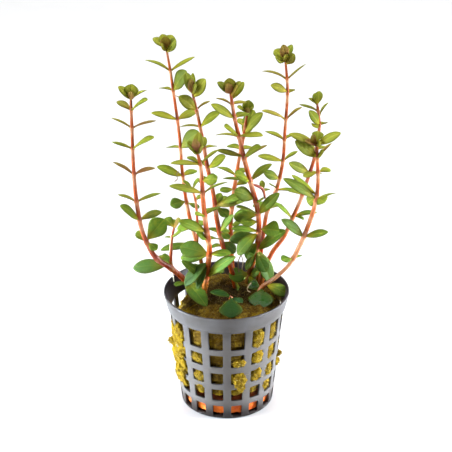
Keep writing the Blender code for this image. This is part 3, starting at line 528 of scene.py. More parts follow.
class Piece:
    """The points, faces and per-point numbers of one piece as it is built."""

    def __init__(self, *channels):
        self.points = []
        self.faces = []
        self.channels = {name: [] for name in channels}

    def point(self, place, **values):
        self.points.append(tuple(place))
        for name, column in self.channels.items():
            column.append(values.get(name, 0.0))
        return len(self.points) - 1

    def face(self, *corners):
        self.faces.append(corners)

    def ring(self, middle, aside, over, radius, count, **values):
        """A round ring of points in the plane of two directions."""
        corners = []
        for corner in range(count):
            turn = math.tau * corner / count
            spot = middle + (aside * math.cos(turn) + over * math.sin(turn)) * radius
            corners.append(self.point(spot, **values))
        return corners

    def tube(self, rings, close_last=True):
        """Join rings of points that each run the same way round, and close the ends."""
        for lower, upper in zip(rings, rings[1:]):
            count = len(lower)
            for index in range(count):
                following = (index + 1) % count
                self.face(lower[index], lower[following], upper[following], upper[index])
        self.face(*reversed(rings[0]))
        if close_last:
            self.face(*rings[-1])

    def build(self, name, material, nodes):
        mesh = bpy.data.meshes.new(name)
        mesh.from_pydata(self.points, [], self.faces)
        for channel, column in self.channels.items():
            attribute = mesh.attributes.new(channel, "FLOAT", "POINT")
            attribute.data.foreach_set("value", column)
        mesh.shade_smooth()
        mesh.update()
        item = put_in_scene(name, mesh)
        mesh.materials.append(material)
        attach(item, "root")
        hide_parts(*nodes)
        return item


def smooth_step(low, high, value):
    share = max(0.0, min(1.0, (value - low) / (high - low)))
    return share * share * (3 - 2 * share)


def lumps(spot, scale, layers, shift=(0.0, 0.0, 0.0)):
    """How far natural unevenness stands out at a spot; the scale is per metre."""
    return noise.fractal(spot * scale + Vector(shift), 1.0, 2.0, layers)


def any_way():
    """A random vector, up to one unit long along each axis."""
    return Vector((random.uniform(-1, 1), random.uniform(-1, 1), random.uniform(-1, 1)))


def seen(red, green, blue):
    """The surface colour that looks like this screen colour in the studio light."""
    def channel(value):
        value /= 255.0
        light = value / 12.92 if value <= 0.04045 else ((value + 0.055) / 1.055) ** 2.4
        return light / STUDIO_LIGHT
    return (channel(red), channel(green), channel(blue), 1.0)


# Material building blocks

class Nodes:
    """A material's node tree, with short ways to add what it is made of."""

    def __init__(self, name):
        self.material = bpy.data.materials.new(name)
        self.material.use_nodes = True
        self.tree = self.material.node_tree
        self.shader = self.tree.nodes["Principled BSDF"]

    def add(self, kind, **settings):
        node = self.tree.nodes.new(kind)
        for setting, value in settings.items():
            setattr(node, setting, value)
        return node

    def feed(self, socket, value):
        """Link a socket to another one, or set it to a plain value."""
        if isinstance(value, bpy.types.NodeSocket):
            self.tree.links.new(value, socket)
        else:
            socket.default_value = value

    def fill(self, node, values):
        """Feed a node's inputs by name."""
        for socket, value in values.items():
            self.feed(node.inputs[socket], value)
        return node

    def channel(self, name):
        return self.add("ShaderNodeAttribute", attribute_name=name).outputs["Fac"]

    def place(self, stretch):
        place = self.add("ShaderNodeTexCoord").outputs["Object"]
        mapping = self.fill(self.add("ShaderNodeMapping"), {"Vector": place, "Scale": stretch})
        return mapping.outputs["Vector"]

    def speckle(self, scale, detail=4.0, roughness=0.55, stretch=(1.0, 1.0, 1.0), distortion=0.0):
        return self.fill(self.add("ShaderNodeTexNoise"), {
            "Vector": self.place(stretch), "Scale": scale, "Detail": detail, "Roughness": roughness,
            "Distortion": distortion,
        }).outputs["Fac"]

    def height(self):
        """The height above the table."""
        place = self.add("ShaderNodeTexCoord").outputs["Object"]
        return self.fill(self.add("ShaderNodeSeparateXYZ"), {"Vector": place}).outputs["Z"]

    def outwardness(self):
        """How far the surface faces away from the upright axis, from -1 to 1."""
        coordinates = self.add("ShaderNodeTexCoord")
        level = self.add("ShaderNodeVectorMath", operation="MULTIPLY")
        self.feed(level.inputs[0], coordinates.outputs["Object"])
        level.inputs[1].default_value = (1.0, 1.0, 0.0)
        unit = self.add("ShaderNodeVectorMath", operation="NORMALIZE")
        self.feed(unit.inputs[0], level.outputs["Vector"])
        facing = self.add("ShaderNodeVectorMath", operation="DOT_PRODUCT")
        self.feed(facing.inputs[0], coordinates.outputs["Normal"])
        self.feed(facing.inputs[1], unit.outputs["Vector"])
        return facing.outputs["Value"]

    def work_out(self, operation, first, second=0.0):
        node = self.add("ShaderNodeMath", operation=operation)
        self.feed(node.inputs[0], first)
        self.feed(node.inputs[1], second)
        return node.outputs[0]

    def plus(self, first, second):
        return self.work_out("ADD", first, second)

    def times(self, first, second):
        return self.work_out("MULTIPLY", first, second)

    def span(self, value, low, high, new_low=0.0, new_high=1.0):
        """A value from one range moved smoothly to another, and held there."""
        return self.fill(self.add("ShaderNodeMapRange", interpolation_type="SMOOTHSTEP"), {
            "Value": value, "From Min": low, "From Max": high, "To Min": new_low, "To Max": new_high,
        }).outputs["Result"]

    def mix(self, share, first, second):
        node = self.add("ShaderNodeMix", data_type="RGBA")
        return self.fill(node, {"Factor": share, "A": first, "B": second}).outputs["Result"]

    def ramp(self, value, stops):
        node = self.add("ShaderNodeValToRGB")
        self.feed(node.inputs["Fac"], value)
        marks = node.color_ramp.elements
        while len(marks) < len(stops):
            marks.new(0.5)
        for mark, (place, colour) in zip(marks, stops):
            mark.position = place
            mark.color = colour
        return node.outputs["Color"]

    def bump(self, height, strength, distance):
        node = self.fill(self.add("ShaderNodeBump"), {
            "Height": height, "Strength": strength, "Distance": distance,
        })
        self.feed(self.shader.inputs["Normal"], node.outputs["Normal"])

    def finish(self, colour, roughness, specular, soft=0.0, soft_reach=0.0, soft_tint=(1.0, 1.0, 1.0)):
        """Colour, roughness and specular level may be sockets; the rest is the same all over."""
        self.fill(self.shader, {
            "Base Color": colour, "Roughness": roughness, "Specular IOR Level": specular,
        })
        if soft > 0.0:
            self.fill(self.shader, {
                "Subsurface Weight": soft, "Subsurface Scale": soft_reach, "Subsurface Radius": soft_tint,
            })
        return self.material


def pot_material():
    look = Nodes("pot_plastic_satin_grey")
    cloud = look.speckle(90.0, 5.0)
    streak = look.speckle(60.0, 6.0, stretch=(1.0, 1.0, 0.25))
    grain = look.speckle(2600.0, 3.0)
    shade = look.mix(look.span(cloud, 0.35, 0.65), seen(88, 83, 80), seen(102, 98, 98))
    # Painted light: below the collar the wall is lightened towards a warmer grey, standing in for how it is
    # lit.
    shade = look.mix(look.span(look.height(), 41.0 * MM, 34.0 * MM, 0.0, 0.6), shade, seen(120, 114, 110))
    shade = look.mix(look.span(streak, 0.58, 0.72, 0.0, 0.35), shade, seen(134, 135, 143))
    shade = look.mix(look.span(grain, 0.62, 0.75, 0.0, 0.25), shade, seen(84, 81, 82))
    # Painted shade: faces turned in towards the middle, the inside of the pot, are darkened.
    shade = look.mix(look.span(look.outwardness(), 0.3, -0.3), shade, seen(44, 36, 42))
    # Painted shade: the wall darkens steeply towards the foot of the pot, where it meets the table.
    shade = look.mix(look.span(look.height(), 9.0 * MM, 1.4 * MM, 0.0, 0.95), shade, seen(30, 19, 14))
    rough = look.span(cloud, 0.3, 0.7, 0.34, 0.5)
    look.bump(look.plus(grain, look.times(streak, 2.0)), 0.25, 0.05 * MM)
    return look.finish(shade, rough, specular=0.35)


def clay_material():
    look = Nodes("orange_clay_rough")
    patches = look.speckle(260.0, 6.0)
    grain = look.speckle(1500.0, 5.0)
    shade = look.ramp(patches, [
        (0.30, (0.50, 0.06, 0.01, 1.0)), (0.48, (0.80, 0.15, 0.014, 1.0)), (0.70, (0.92, 0.24, 0.03, 1.0)),
    ])
    shade = look.mix(look.span(grain, 0.6, 0.75, 0.0, 0.6), shade, seen(110, 40, 24))
    # Painted shade: the top of the disc, in the shadow under the wool, is darkened to maroon, with a ragged
    # edge.
    ripple = look.times(patches, 2.0 * MM)
    top = look.span(look.plus(look.height(), ripple), 6.6 * MM, 8.2 * MM)
    shade = look.mix(top, shade, seen(70, 22, 8))
    look.bump(look.plus(patches, grain), 0.8, 0.4 * MM)
    return look.finish(shade, look.span(grain, 0.3, 0.7, 0.6, 0.85), specular=0.2)


def wool_material():
    look = Nodes("rock_wool_matted")
    gold = look.channel("gold")
    clump = look.speckle(260.0, 4.0, distortion=0.8)
    strand = look.speckle(420.0, 6.0, 0.6, stretch=(0.35, 0.35, 1.6), distortion=1.2)
    cross = look.speckle(500.0, 6.0, 0.6, stretch=(1.6, 1.6, 0.35), distortion=1.2)
    mat = look.plus(look.times(strand, 0.5), look.times(cross, 0.5))
    hollow = look.channel("hollow")
    dark = look.ramp(mat, [
        (0.38, seen(52, 36, 8)), (0.50, seen(112, 86, 22)), (0.62, seen(170, 140, 44)),
    ])
    bright = look.ramp(mat, [
        (0.36, seen(112, 80, 6)), (0.46, seen(154, 122, 16)), (0.60, seen(182, 152, 32)),
    ])
    share = look.plus(gold, look.span(clump, 0.3, 0.7, -0.3, 0.3))
    shade = look.mix(look.span(share, 0.2, 0.75), dark, bright)
    # Painted shade: the wool is darkened in the dips of its lumps.
    shade = look.mix(look.times(hollow, 0.6), shade, seen(104, 76, 8))
    # Painted shadow of the leaves on the top of the wool, in among the feet of the shoots.
    shade = look.mix(look.times(look.channel("damp"), 0.85), shade, seen(38, 27, 10))
    look.bump(look.plus(mat, look.times(clump, 0.6)), 0.5, 0.5 * MM)
    return look.finish(shade, look.span(clump, 0.3, 0.7, 0.75, 0.95), specular=0.1)


def fibre_material():
    look = Nodes("rock_wool_fibre")
    gold = look.channel("gold")
    patch = look.speckle(700.0, 3.0)
    dark = look.mix(patch, seen(70, 54, 18), seen(120, 98, 40))
    bright = look.mix(patch, seen(178, 142, 24), seen(228, 206, 92))
    return look.finish(look.mix(gold, dark, bright), look.span(patch, 0.3, 0.7, 0.55, 0.8), specular=0.3)


def leaf_material():
    look = Nodes("leaf_green_satin")
    along = look.channel("along")
    offset = look.channel("offset")
    across = look.channel("across")
    age = look.channel("age")
    tone = look.channel("tone")
    blush = look.channel("blush")
    shaded = look.channel("shaded")
    under = look.channel("under")
    gloss = look.channel("gloss")
    mottle = look.speckle(420.0, 4.0)
    fine = look.speckle(1900.0, 3.0)
    side = look.work_out("ABSOLUTE", across)
    green = look.ramp(age, [
        (0.0, seen(174, 178, 54)), (0.35, seen(158, 174, 54)), (0.7, seen(136, 166, 50)),
        (1.0, seen(110, 150, 50)),
    ])
    green = look.mix(look.span(tone, 0.0, 1.0, 0.0, 0.5), green, seen(76, 118, 30))
    green = look.mix(look.span(mottle, 0.5, 0.72, 0.0, 0.28), green, seen(196, 196, 48))
    base = look.span(along, 0.5, 0.05, 0.0, 0.7)
    green = look.mix(base, green, seen(206, 184, 40))
    rib = look.span(look.work_out("ABSOLUTE", offset), 0.3 * MM, 0.05 * MM, 0.0, 0.45)
    rib = look.times(rib, look.span(age, 0.0, 1.0, 1.0, 0.5))
    green = look.mix(rib, green, seen(208, 204, 76))
    wave = look.work_out("SUBTRACT", along, look.times(side, 0.22))
    vein = look.work_out("ABSOLUTE", look.work_out("SINE", look.times(wave, 22.0)))
    green = look.mix(look.span(vein, 0.22, 0.02, 0.0, 0.2), green, seen(176, 186, 60))
    # Painted shade, together with the leaf's own darker green: leaves with a negative tint darken towards
    # deep green, and past one towards a still deeper painted shade.
    green = look.mix(look.span(shaded, 0.0, 1.0), green, seen(44, 78, 26))
    green = look.mix(look.span(shaded, 1.0, 1.5, 0.0, 0.8), green, seen(22, 40, 12))
    green = look.mix(look.times(under, 0.5), green, seen(138, 122, 66))
    green = look.mix(look.times(gloss, 0.85), green, seen(30, 84, 28))
    green = look.mix(look.span(side, 0.5, 1.0, 0.0, 0.55), green, seen(84, 98, 24))
    red_brown = look.times(blush, look.span(along, 1.0, 0.3, 0.6, 1.0))
    blushed = look.mix(look.channel("slim"), seen(122, 54, 14), seen(184, 116, 84))
    green = look.mix(red_brown, green, blushed)
    height = look.plus(look.times(fine, 0.4), look.times(vein, 0.5))
    height = look.work_out("SUBTRACT", height, look.times(rib, 1.2))
    look.bump(height, 0.5, 0.12 * MM)
    rough = look.work_out("SUBTRACT", look.span(mottle, 0.3, 0.7, 0.5, 0.64), look.times(gloss, 0.26))
    shine = look.span(gloss, 0.0, 1.0, 0.1, 0.3)
    return look.finish(green, rough, shine, 0.2, 0.5 * MM, (0.7, 1.0, 0.2))


def stem_material():
    look = Nodes("stem_pink_red_glossy")
    stage = look.channel("stage")
    rise = look.channel("rise")
    amber = look.channel("amber")
    knot = look.channel("knot")
    tone = look.channel("tone")
    streak = look.speckle(900.0, 4.0, stretch=(1.0, 1.0, 0.12))
    patch = look.speckle(160.0, 3.0)
    shade = look.ramp(look.plus(stage, look.span(patch, 0.3, 0.7, -0.25, 0.25)), [
        (0.0, seen(160, 64, 14)), (0.25, seen(202, 86, 22)), (0.55, seen(220, 108, 38)),
        (1.0, seen(246, 178, 130)),
    ])
    shade = look.mix(look.span(streak, 0.52, 0.7, 0.0, 0.3), shade, seen(240, 146, 104))
    shade = look.mix(look.span(tone, 0.0, 1.0, 0.0, 0.8), shade, seen(160, 40, 8))
    shade = look.mix(look.times(amber, 0.9), shade, seen(132, 88, 22))
    shade = look.mix(look.span(rise, 0.9, 1.0, 0.0, 0.6), shade, seen(138, 66, 24))
    shade = look.mix(look.times(knot, 0.4), shade, seen(230, 156, 96))
    look.bump(streak, 0.3, 0.08 * MM)
    rough = look.span(streak, 0.3, 0.7, 0.2, 0.34)
    return look.finish(shade, rough, 0.35, 0.15, 0.7 * MM, (1.0, 0.35, 0.2))


def thread_material():
    look = Nodes("thin_root_and_stalk")
    streak = look.speckle(1200.0, 3.0, stretch=(1.0, 1.0, 0.3))
    shade = look.mix(look.channel("pale"), seen(122, 84, 26), seen(240, 232, 204))
    shade = look.mix(look.span(streak, 0.5, 0.7, 0.0, 0.4), shade, seen(150, 140, 60))
    look.bump(streak, 0.3, 0.06 * MM)
    return look.finish(shade, look.span(streak, 0.3, 0.7, 0.4, 0.6), specular=0.3)


def floor_material():
    look = Nodes("studio_floor_pale")
    grain = look.speckle(40.0, 3.0)
    shade = look.mix(grain, (0.67, 0.67, 0.67, 1.0), (0.71, 0.71, 0.71, 1.0))
    look.bump(grain, 0.05, 0.2 * MM)
    return look.finish(shade, look.span(grain, 0.3, 0.7, 0.75, 0.85), specular=0.2)


# Net pot

def on_wall(radius, angle, height):
    """A point round the pot, at an angle counted to the right from the viewer's side."""
    return Vector((radius * math.sin(angle), -radius * math.cos(angle), height))


def wall_radius(height):
    return WALL_BASE_RADIUS + (WALL_TOP_RADIUS - WALL_BASE_RADIUS) * height / POT_HEIGHT


def inner_radius(height):
    return wall_radius(height) - WALL_THICKNESS


def inner_skin(height):
    """The radius of the inner face, which flares out with the collar above its foot."""
    collar_low = POT_HEIGHT - COLLAR_DEPTH
    straight = inner_radius(min(height, collar_low))
    share = max(0.0, height - collar_low) / COLLAR_DEPTH
    return straight + (RIM_RADIUS - COLLAR_THICKNESS - straight) * share


def pot_levels():
    """The skins from the middle of the floor out and up to the rim.

    Each level is the outer point, the inner point and what cuts the band above
    it, or outside it: the windows, the slots or nothing.
    """
    base_inner = inner_radius(FLOOR_THICKNESS)
    levels = []
    for index, radius in enumerate(FLOOR_RINGS):
        levels.append(((radius, 0.0), (radius, FLOOR_THICKNESS), "slots" if index == 1 else None))
    levels.append(((WALL_BASE_RADIUS - FOOT_ROUNDING, 0.0), (base_inner - 0.2 * MM, FLOOR_THICKNESS), None))
    levels.append(((WALL_BASE_RADIUS, 0.35 * MM), (base_inner, FLOOR_THICKNESS + 0.1 * MM), None))
    for low, high in WINDOW_ROWS:
        inner_low = max(low, FLOOR_THICKNESS + 0.3 * MM)
        levels.append(((wall_radius(low), low), (inner_radius(inner_low), inner_low), "windows"))
        levels.append(((wall_radius(high), high), (inner_radius(high), high), None))
    collar_low = POT_HEIGHT - COLLAR_DEPTH
    collar_foot = RIM_RADIUS - COLLAR_TAPER
    levels.append(((wall_radius(collar_low), collar_low), (inner_radius(collar_low), collar_low), None))
    foot_height = collar_low + 0.25 * MM
    levels.append(((collar_foot, foot_height), (inner_skin(foot_height), foot_height), None))
    for share in (0.33, 0.66, 1.0):
        height = collar_low + (COLLAR_DEPTH - 0.5 * MM) * share
        outer = collar_foot + COLLAR_TAPER * share
        levels.append(((outer, height), (inner_skin(height), height), None))
    rim_low = POT_HEIGHT - 0.15 * MM
    levels.append(((RIM_RADIUS - 0.04 * MM, rim_low), (inner_skin(rim_low), rim_low), None))
    rim_inner = inner_skin(POT_HEIGHT) + RIM_ROUNDING
    levels.append(((RIM_RADIUS - RIM_ROUNDING, POT_HEIGHT), (rim_inner, POT_HEIGHT), None))
    return levels


def pot_angles(radius):
    """Angles round the pot from the nearest rib, for a rib of constant width."""
    half_rib = RIB_WIDTH / (2 * radius)
    pitch = math.tau / COLUMNS
    angles = []
    for column in range(COLUMNS):
        start = column * pitch
        for step in range(RIB_STEPS):
            angles.append(start - half_rib + 2 * half_rib * step / RIB_STEPS)
        for step in range(WINDOW_STEPS):
            angles.append(start + half_rib + (pitch - 2 * half_rib) * step / WINDOW_STEPS)
    return angles


def is_open(kind, index):
    """Whether the cell to the right of an angle is cut away at this level."""
    column, step = divmod(index, RIB_STEPS + WINDOW_STEPS)
    if kind == "windows":
        return step >= RIB_STEPS
    if kind == "slots":
        in_slot = step <= RIB_STEPS or step == RIB_STEPS + WINDOW_STEPS - 1
        return in_slot and column % 2 == (1 if step == RIB_STEPS + WINDOW_STEPS - 1 else 0)
    return False


def round_corners(shape, rings):
    """Round the corners of the windows and slots, the sharp edges that run through the wall."""
    corners = []
    for outer_ring, inner_ring in rings:
        for outer, inner in zip(outer_ring, inner_ring):
            edge = shape.edges.get((outer, inner))
            if edge and len(edge.link_faces) == 2 and edge.calc_face_angle(0.0) > math.radians(60):
                corners.append(edge)
    bmesh.ops.bevel(
        shape, geom=corners, offset=WINDOW_CORNER, segments=3, profile=0.5, affect="EDGES",
        clamp_overlap=True,
    )


def soften_edges(item):
    """A small bevel on every sharp edge, applied to the mesh."""
    bevel = item.modifiers.new("edges", "BEVEL")
    bevel.width = EDGE_BEVEL
    bevel.segments = 2
    bevel.limit_method = "ANGLE"
    bevel.angle_limit = math.radians(40)
    graph = bpy.context.evaluated_depsgraph_get()
    item.data = bpy.data.meshes.new_from_object(item.evaluated_get(graph))
    item.modifiers.clear()
    item.data.shade_smooth()
    item.data.set_sharp_from_angle(angle=math.radians(35))


def make_pot(material):
    shape = bmesh.new()
    levels = pot_levels()
    rings = []
    for outer, inner, _ in levels:
        angles = pot_angles(max(outer[0], WALL_BASE_RADIUS))
        pair = []
        for radius, height in (outer, inner):
            pair.append([shape.verts.new(on_wall(radius, angle, height)) for angle in angles])
        rings.append(pair)
    count = len(rings[0][0])
    for side, height in ((0, 0.0), (1, FLOOR_THICKNESS)):
        hub = shape.verts.new((0.0, 0.0, height))
        for index in range(count):
            shape.faces.new((hub, rings[0][side][index], rings[0][side][(index + 1) % count]))
    gaps = []
    for _, _, kind in levels[:-1]:
        gaps.append([is_open(kind, index) for index in range(count)])
    for level, gap in enumerate(gaps):
        for index in range(count):
            following = (index + 1) % count
            if gap[index]:
                continue
            for side in (0, 1):
                shape.faces.new((
                    rings[level][side][index], rings[level][side][following],
                    rings[level + 1][side][following], rings[level + 1][side][index],
                ))
            for edge, neighbour in ((index, (index - 1) % count), (following, following)):
                if gap[neighbour]:
                    shape.faces.new((
                        rings[level][0][edge], rings[level + 1][0][edge],
                        rings[level + 1][1][edge], rings[level][1][edge],
                    ))
    for level in range(1, len(levels)):
        for index in range(count):
            following = (index + 1) % count
            below = gaps[level - 1][index]
            above = gaps[level][index] if level < len(gaps) else True
            if below != above:
                shape.faces.new((
                    rings[level][0][index], rings[level][0][following],
                    rings[level][1][following], rings[level][1][index],
                ))
    bmesh.ops.recalc_face_normals(shape, faces=shape.faces)
    round_corners(shape, rings)
    mesh = bpy.data.meshes.new("pot_basket")
    shape.to_mesh(mesh)
    shape.free()
    item = put_in_scene("pot_basket", mesh)
    soften_edges(item)
    item.data.materials.append(material)
    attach(item, "root")
    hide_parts("net_pot")
    return item


def make_disc(material):
    """A rough clay disc, set a little in from the wall of the pot."""
    piece = Piece()
    profile = [(0.2 + 0.8 * step / 4, 0.0) for step in range(5)]
    profile += [(1.0, step / 8) for step in range(1, 9)]
    profile += [(1.0 - step / 14, 1.0) for step in range(1, 14)]
    rings = []
    for share, rise in profile:
        ring = []
        for index in range(DISC_AROUND):
            angle = math.tau * index / DISC_AROUND
            height = DISC_LOW + (DISC_HIGH - DISC_LOW) * rise
            edge = inner_radius(height) - DISC_GAP
            spot = Vector((math.cos(angle), math.sin(angle), 0.0)) * edge * share
            spot.z = height
            rough = abs(lumps(spot, 420, 4)) * DISC_ROUGHNESS
            inset = rough
            if rise in (0.0, 1.0):
                spot.z -= rough if rise else -rough
                inset += DISC_CHAMFER if share == 1.0 else 0.0
            spot.xy *= 1 - inset / edge
            ring.append(piece.point(spot))
        rings.append(ring)
    piece.tube(rings)
    return piece.build("clay_disc", material, ["orange_base_disc"])


# Rock wool

def window_at(angle, height):
    """The window's column and row at a place on the wall, and how far inside it that is."""
    pitch = math.tau / COLUMNS
    column = math.floor(angle / pitch)
    radius = wall_radius(height)
    aside = abs(angle - (column + 0.5) * pitch) * radius
    half_width = pitch * radius / 2 - RIB_WIDTH / 2
    for row, (low, high) in enumerate(WINDOW_ROWS):
        if low <= height <= high:
            inside = min(half_width - aside, height - low, high - height)
            return (column + COLUMNS // 2) % COLUMNS - COLUMNS // 2, row, max(0.0, inside)
    return None, None, 0.0


def shoulder_height(x, y):
    sunk = max(0.0, min(1.0, (x - SINK_START) / (SINK_END - SINK_START)))
    away = (Vector((x, y)) - MOUND_CENTRE).length / MOUND_SPREAD
    aside = (Vector((x, y)) - RIGHT_MOUND_CENTRE).length / MOUND_SPREAD
    mound = MOUND_HEIGHT * math.exp(-away * away) + RIGHT_MOUND_HEIGHT * math.exp(-aside * aside)
    return mound - PLUG_SINK * sunk


def top_gold(x, y):
    """How yellow the top of the wool is: most at the right front and the far left."""
    gold = TOP_GOLD
    for middle_x, middle_y, reach, strength in GOLD_PATCHES:
        gold += strength * math.exp(-((x - middle_x) ** 2 + (y - middle_y) ** 2) / reach ** 2)
    return gold


def top_damp(x, y):
    """How dark the painted shadow on the top of the wool is: most in among the feet of the shoots, where
    the leaves shade it.
    """
    aside = (x - FOLIAGE_SHADOW_MIDDLE[0]) / FOLIAGE_SHADOW_REACH[0]
    away = (y - FOLIAGE_SHADOW_MIDDLE[1]) / FOLIAGE_SHADOW_REACH[1]
    return math.exp(-(aside * aside + away * away) ** 2)


def wool_side_point(angle, share):
    """A point of the wool's side, out through the windows where it bulges."""
    edge = inner_radius(PLUG_SHOULDER) - PLUG_GAP
    top = PLUG_SHOULDER + shoulder_height(edge * math.sin(angle), -edge * math.cos(angle))
    height = PLUG_BASE + (top - PLUG_BASE) * share
    radius = inner_skin(height) - PLUG_GAP
    spot = on_wall(radius, angle, height)
    lump = lumps(spot, 300, 4)
    fine = lumps(spot, 1300, 3, (7.0, 3.0, 1.0))
    column, row, inside = window_at(angle, height)
    bulge, gold = WOOL_WINDOWS.get((column, row), OTHER_WINDOW) if inside > 0 else (0.0, 0.3)
    # Painted shade: darker where the lumps of the wool dip.
    hollow = smooth_step(0.05, -0.35, lump + 0.6 * fine)
    open_share = smooth_step(0.15 * MM, 1.7 * MM, inside)
    out = (bulge + 0.7 * lump + 0.25 * fine) * MM * open_share
    out -= (0.15 + 0.35 * abs(lump) + 0.2 * abs(fine)) * MM * (1 - open_share)
    return on_wall(radius + out, angle, height), gold, hollow


def wool_top_point(angle, share, edge_point):
    """A point of the wool's top, from its shoulder to the middle."""
    edge = edge_point.xy.length
    radius = edge * (1 - share)
    x, y = radius * math.sin(angle), -radius * math.cos(angle)
    level = PLUG_TOP - SHOULDER_DROP * (1 - share) ** 8 - TOP_CROWNING * (1 - share) ** 2
    height = level + shoulder_height(x, y)
    spot = Vector((x, y, height))
    lump = lumps(spot, 230, 4)
    fine = lumps(spot, 1200, 3)
    blend = smooth_step(0.0, 0.08, share)
    start = edge_point.z
    height = start + (height + (0.9 * lump + 0.35 * fine) * MM - start) * blend
    # The last value is painted shade, darker where the lumps of the top dip.
    return Vector((x, y, height)), top_gold(x, y), smooth_step(0.05, -0.35, lump + 0.6 * fine)


def make_wool(material):
    piece = Piece("gold", "hollow", "damp")
    rings = [[] for _ in range(WOOL_SIDE_ROWS + WOOL_TOP_ROWS)]
    for index in range(WOOL_AROUND):
        angle = math.tau * index / WOOL_AROUND
        for row in range(WOOL_SIDE_ROWS):
            spot, gold, hollow = wool_side_point(angle, row / (WOOL_SIDE_ROWS - 1))
            rings[row].append(piece.point(spot, gold=gold, hollow=hollow))
        edge_point = spot
        for row in range(WOOL_TOP_ROWS):
            share = (row + 1) / (WOOL_TOP_ROWS + 0.5)
            spot, gold, hollow = wool_top_point(angle, share, edge_point)
            # Painted shadow under the leaves.
            damp = top_damp(spot.x, spot.y)
            rings[WOOL_SIDE_ROWS + row].append(piece.point(spot, gold=gold, hollow=hollow, damp=damp))
    piece.tube(rings)
    return piece.build("rock_wool", material, ["rockwool_plug"])


def tuft_point(tuft, polar, turn):
    """A point on a tuft, bent round the wall: polar runs from its front to its back."""
    angle, height, half_width, half_height, out, _ = tuft
    aside = math.sin(polar) * math.cos(turn)
    rise = math.sin(polar) * math.sin(turn)
    front = math.cos(polar)
    wall = wall_radius(height * MM)

    def place(scale):
        around = math.radians(angle) + aside * scale * half_width * MM / wall
        level = (height + rise * scale * half_height) * MM
        return on_wall(wall_radius(level) + (front * scale * out - TUFT_SINK) * MM, around, level)

    spot = place(1.0)
    lump = lumps(spot, 360, 4)
    fine = lumps(spot, 1300, 3)
    # Painted shade: darker where the lumps of the tuft dip.
    hollow = smooth_step(0.1, -0.3, lump + 0.7 * fine)
    return place(1.0 + TUFT_LUMPS[0] * lump + TUFT_LUMPS[1] * fine), hollow


def make_tufts(material):
    """The tufts that spill out of the windows, each one a lumpy closed body."""
    piece = Piece("gold", "hollow")
    for tuft in WOOL_TUFTS:
        rings = []
        for row in range(TUFT_ROWS):
            polar = math.pi * (row + 0.5) / TUFT_ROWS
            ring = []
            for index in range(TUFT_AROUND):
                spot, hollow = tuft_point(tuft, polar, math.tau * index / TUFT_AROUND)
                ring.append(piece.point(spot, gold=tuft[-1], hollow=hollow))
            rings.append(ring)
        piece.tube(rings)
    return piece.build("rock_wool_tufts", material, ["rockwool_plug"])


def add_fibre(piece, start, heading, length, radius, gold):
    """One thin curved hair, drawn as a three-sided tube."""
    steps = 4
    spot = start.copy()
    rings = []
    for step in range(steps + 1):
        aside = heading.orthogonal().normalized()
        over = heading.cross(aside).normalized()
        rings.append(piece.ring(spot, aside, over, radius * (1.0 - 0.6 * step / steps), 3, gold=gold))
        heading = (heading + any_way() * 0.45).normalized()
        spot = spot + heading * (length / steps)
    piece.tube(rings)


def make_fibres(material):
    """Loose hairs of the wool in the windows and on its top."""
    piece = Piece("gold")
    made = 0
    while made < WOOL_FIBRES:
        angle = random.uniform(0.0, math.tau)
        if random.random() < WINDOW_FIBRES:
            share = random.uniform(0.02, 0.98)
            spot, gold, _ = wool_side_point(angle, share)
            _, _, inside = window_at(angle, spot.z)
            if inside < 0.5 * MM:
                continue
            outward = Vector((math.sin(angle), -math.cos(angle), 0.0))
        else:
            radius = TOP_FIBRE_REACH * math.sqrt(random.random())
            edge_point, _, _ = wool_side_point(angle, 1.0)
            spot, gold, _ = wool_top_point(angle, 1 - radius / edge_point.xy.length, edge_point)
            outward = Vector((0.0, 0.0, 1.0))
        heading = (any_way() + outward * 0.25).normalized()
        length = random.uniform(*FIBRE_LENGTH) * MM
        radius = random.uniform(*FIBRE_RADIUS) * MM
        tint = max(0.0, min(1.0, gold + random.uniform(-0.2, 0.3)))
        add_fibre(piece, spot, heading, length, radius, tint)
        made += 1
    for tuft in WOOL_TUFTS:
        for _ in range(TUFT_FIBRES):
            turn = random.uniform(0.0, math.tau)
            spot, _ = tuft_point(tuft, random.uniform(0.0, 0.55) * math.pi, turn)
            outward = Vector((spot.x, spot.y, 0.0)).normalized()
            heading = (any_way() + outward * 0.35).normalized()
            length = random.uniform(*TUFT_FIBRE_LENGTH) * MM
            tint = max(0.0, min(1.0, tuft[-1] + random.uniform(-0.6, 0.3)))
            add_fibre(piece, spot, heading, length, random.uniform(*TUFT_FIBRE_RADIUS) * MM, tint)
    return piece.build("rock_wool_fibres", material, ["rockwool_plug"])


# Shoots

def stem_at(stem, height):
    """The middle and the radius of a stem at a height, on a smooth path."""
    points = [Vector((x, y, z, radius)) * MM for x, y, z, radius in stem]
    height = max(points[0].z, min(points[-1].z, height))
    place = 0
    while place < len(points) - 2 and height > points[place + 1].z:
        place += 1
    low, high = points[place], points[place + 1]
    before = points[max(place - 1, 0)]
    after = points[min(place + 2, len(points) - 1)]
    gap = high.z - low.z
    slope_low = (high - before) / (high.z - before.z) * gap
    slope_high = (after - low) / (after.z - low.z) * gap
    t = (height - low.z) / gap
    spot = (
        low * (2 * t ** 3 - 3 * t ** 2 + 1) + slope_low * (t ** 3 - 2 * t ** 2 + t)
        + high * (-2 * t ** 3 + 3 * t ** 2) + slope_high * (t ** 3 - t ** 2)
    )
    return Vector((spot.x, spot.y, height)), spot.w


def node_heights(leaves):
    """Where leaves stand on the stem, with those at one node counted once."""
    heights = []
    for height in sorted(leaf[0] * MM for leaf in leaves):
        if not heights or height - heights[-1] > SAME_NODE:
            heights.append(height)
    return heights


def internode_stage(height, nodes):
    """0 just above a node, up to 1 just below the next one."""
    below = max([node for node in nodes if node <= height], default=nodes[0] - LOWEST_GAP)
    above = min([node for node in nodes if node > height], default=nodes[-1] + HIGHEST_GAP)
    return max(0.0, min(1.0, (height - below) / (above - below)))


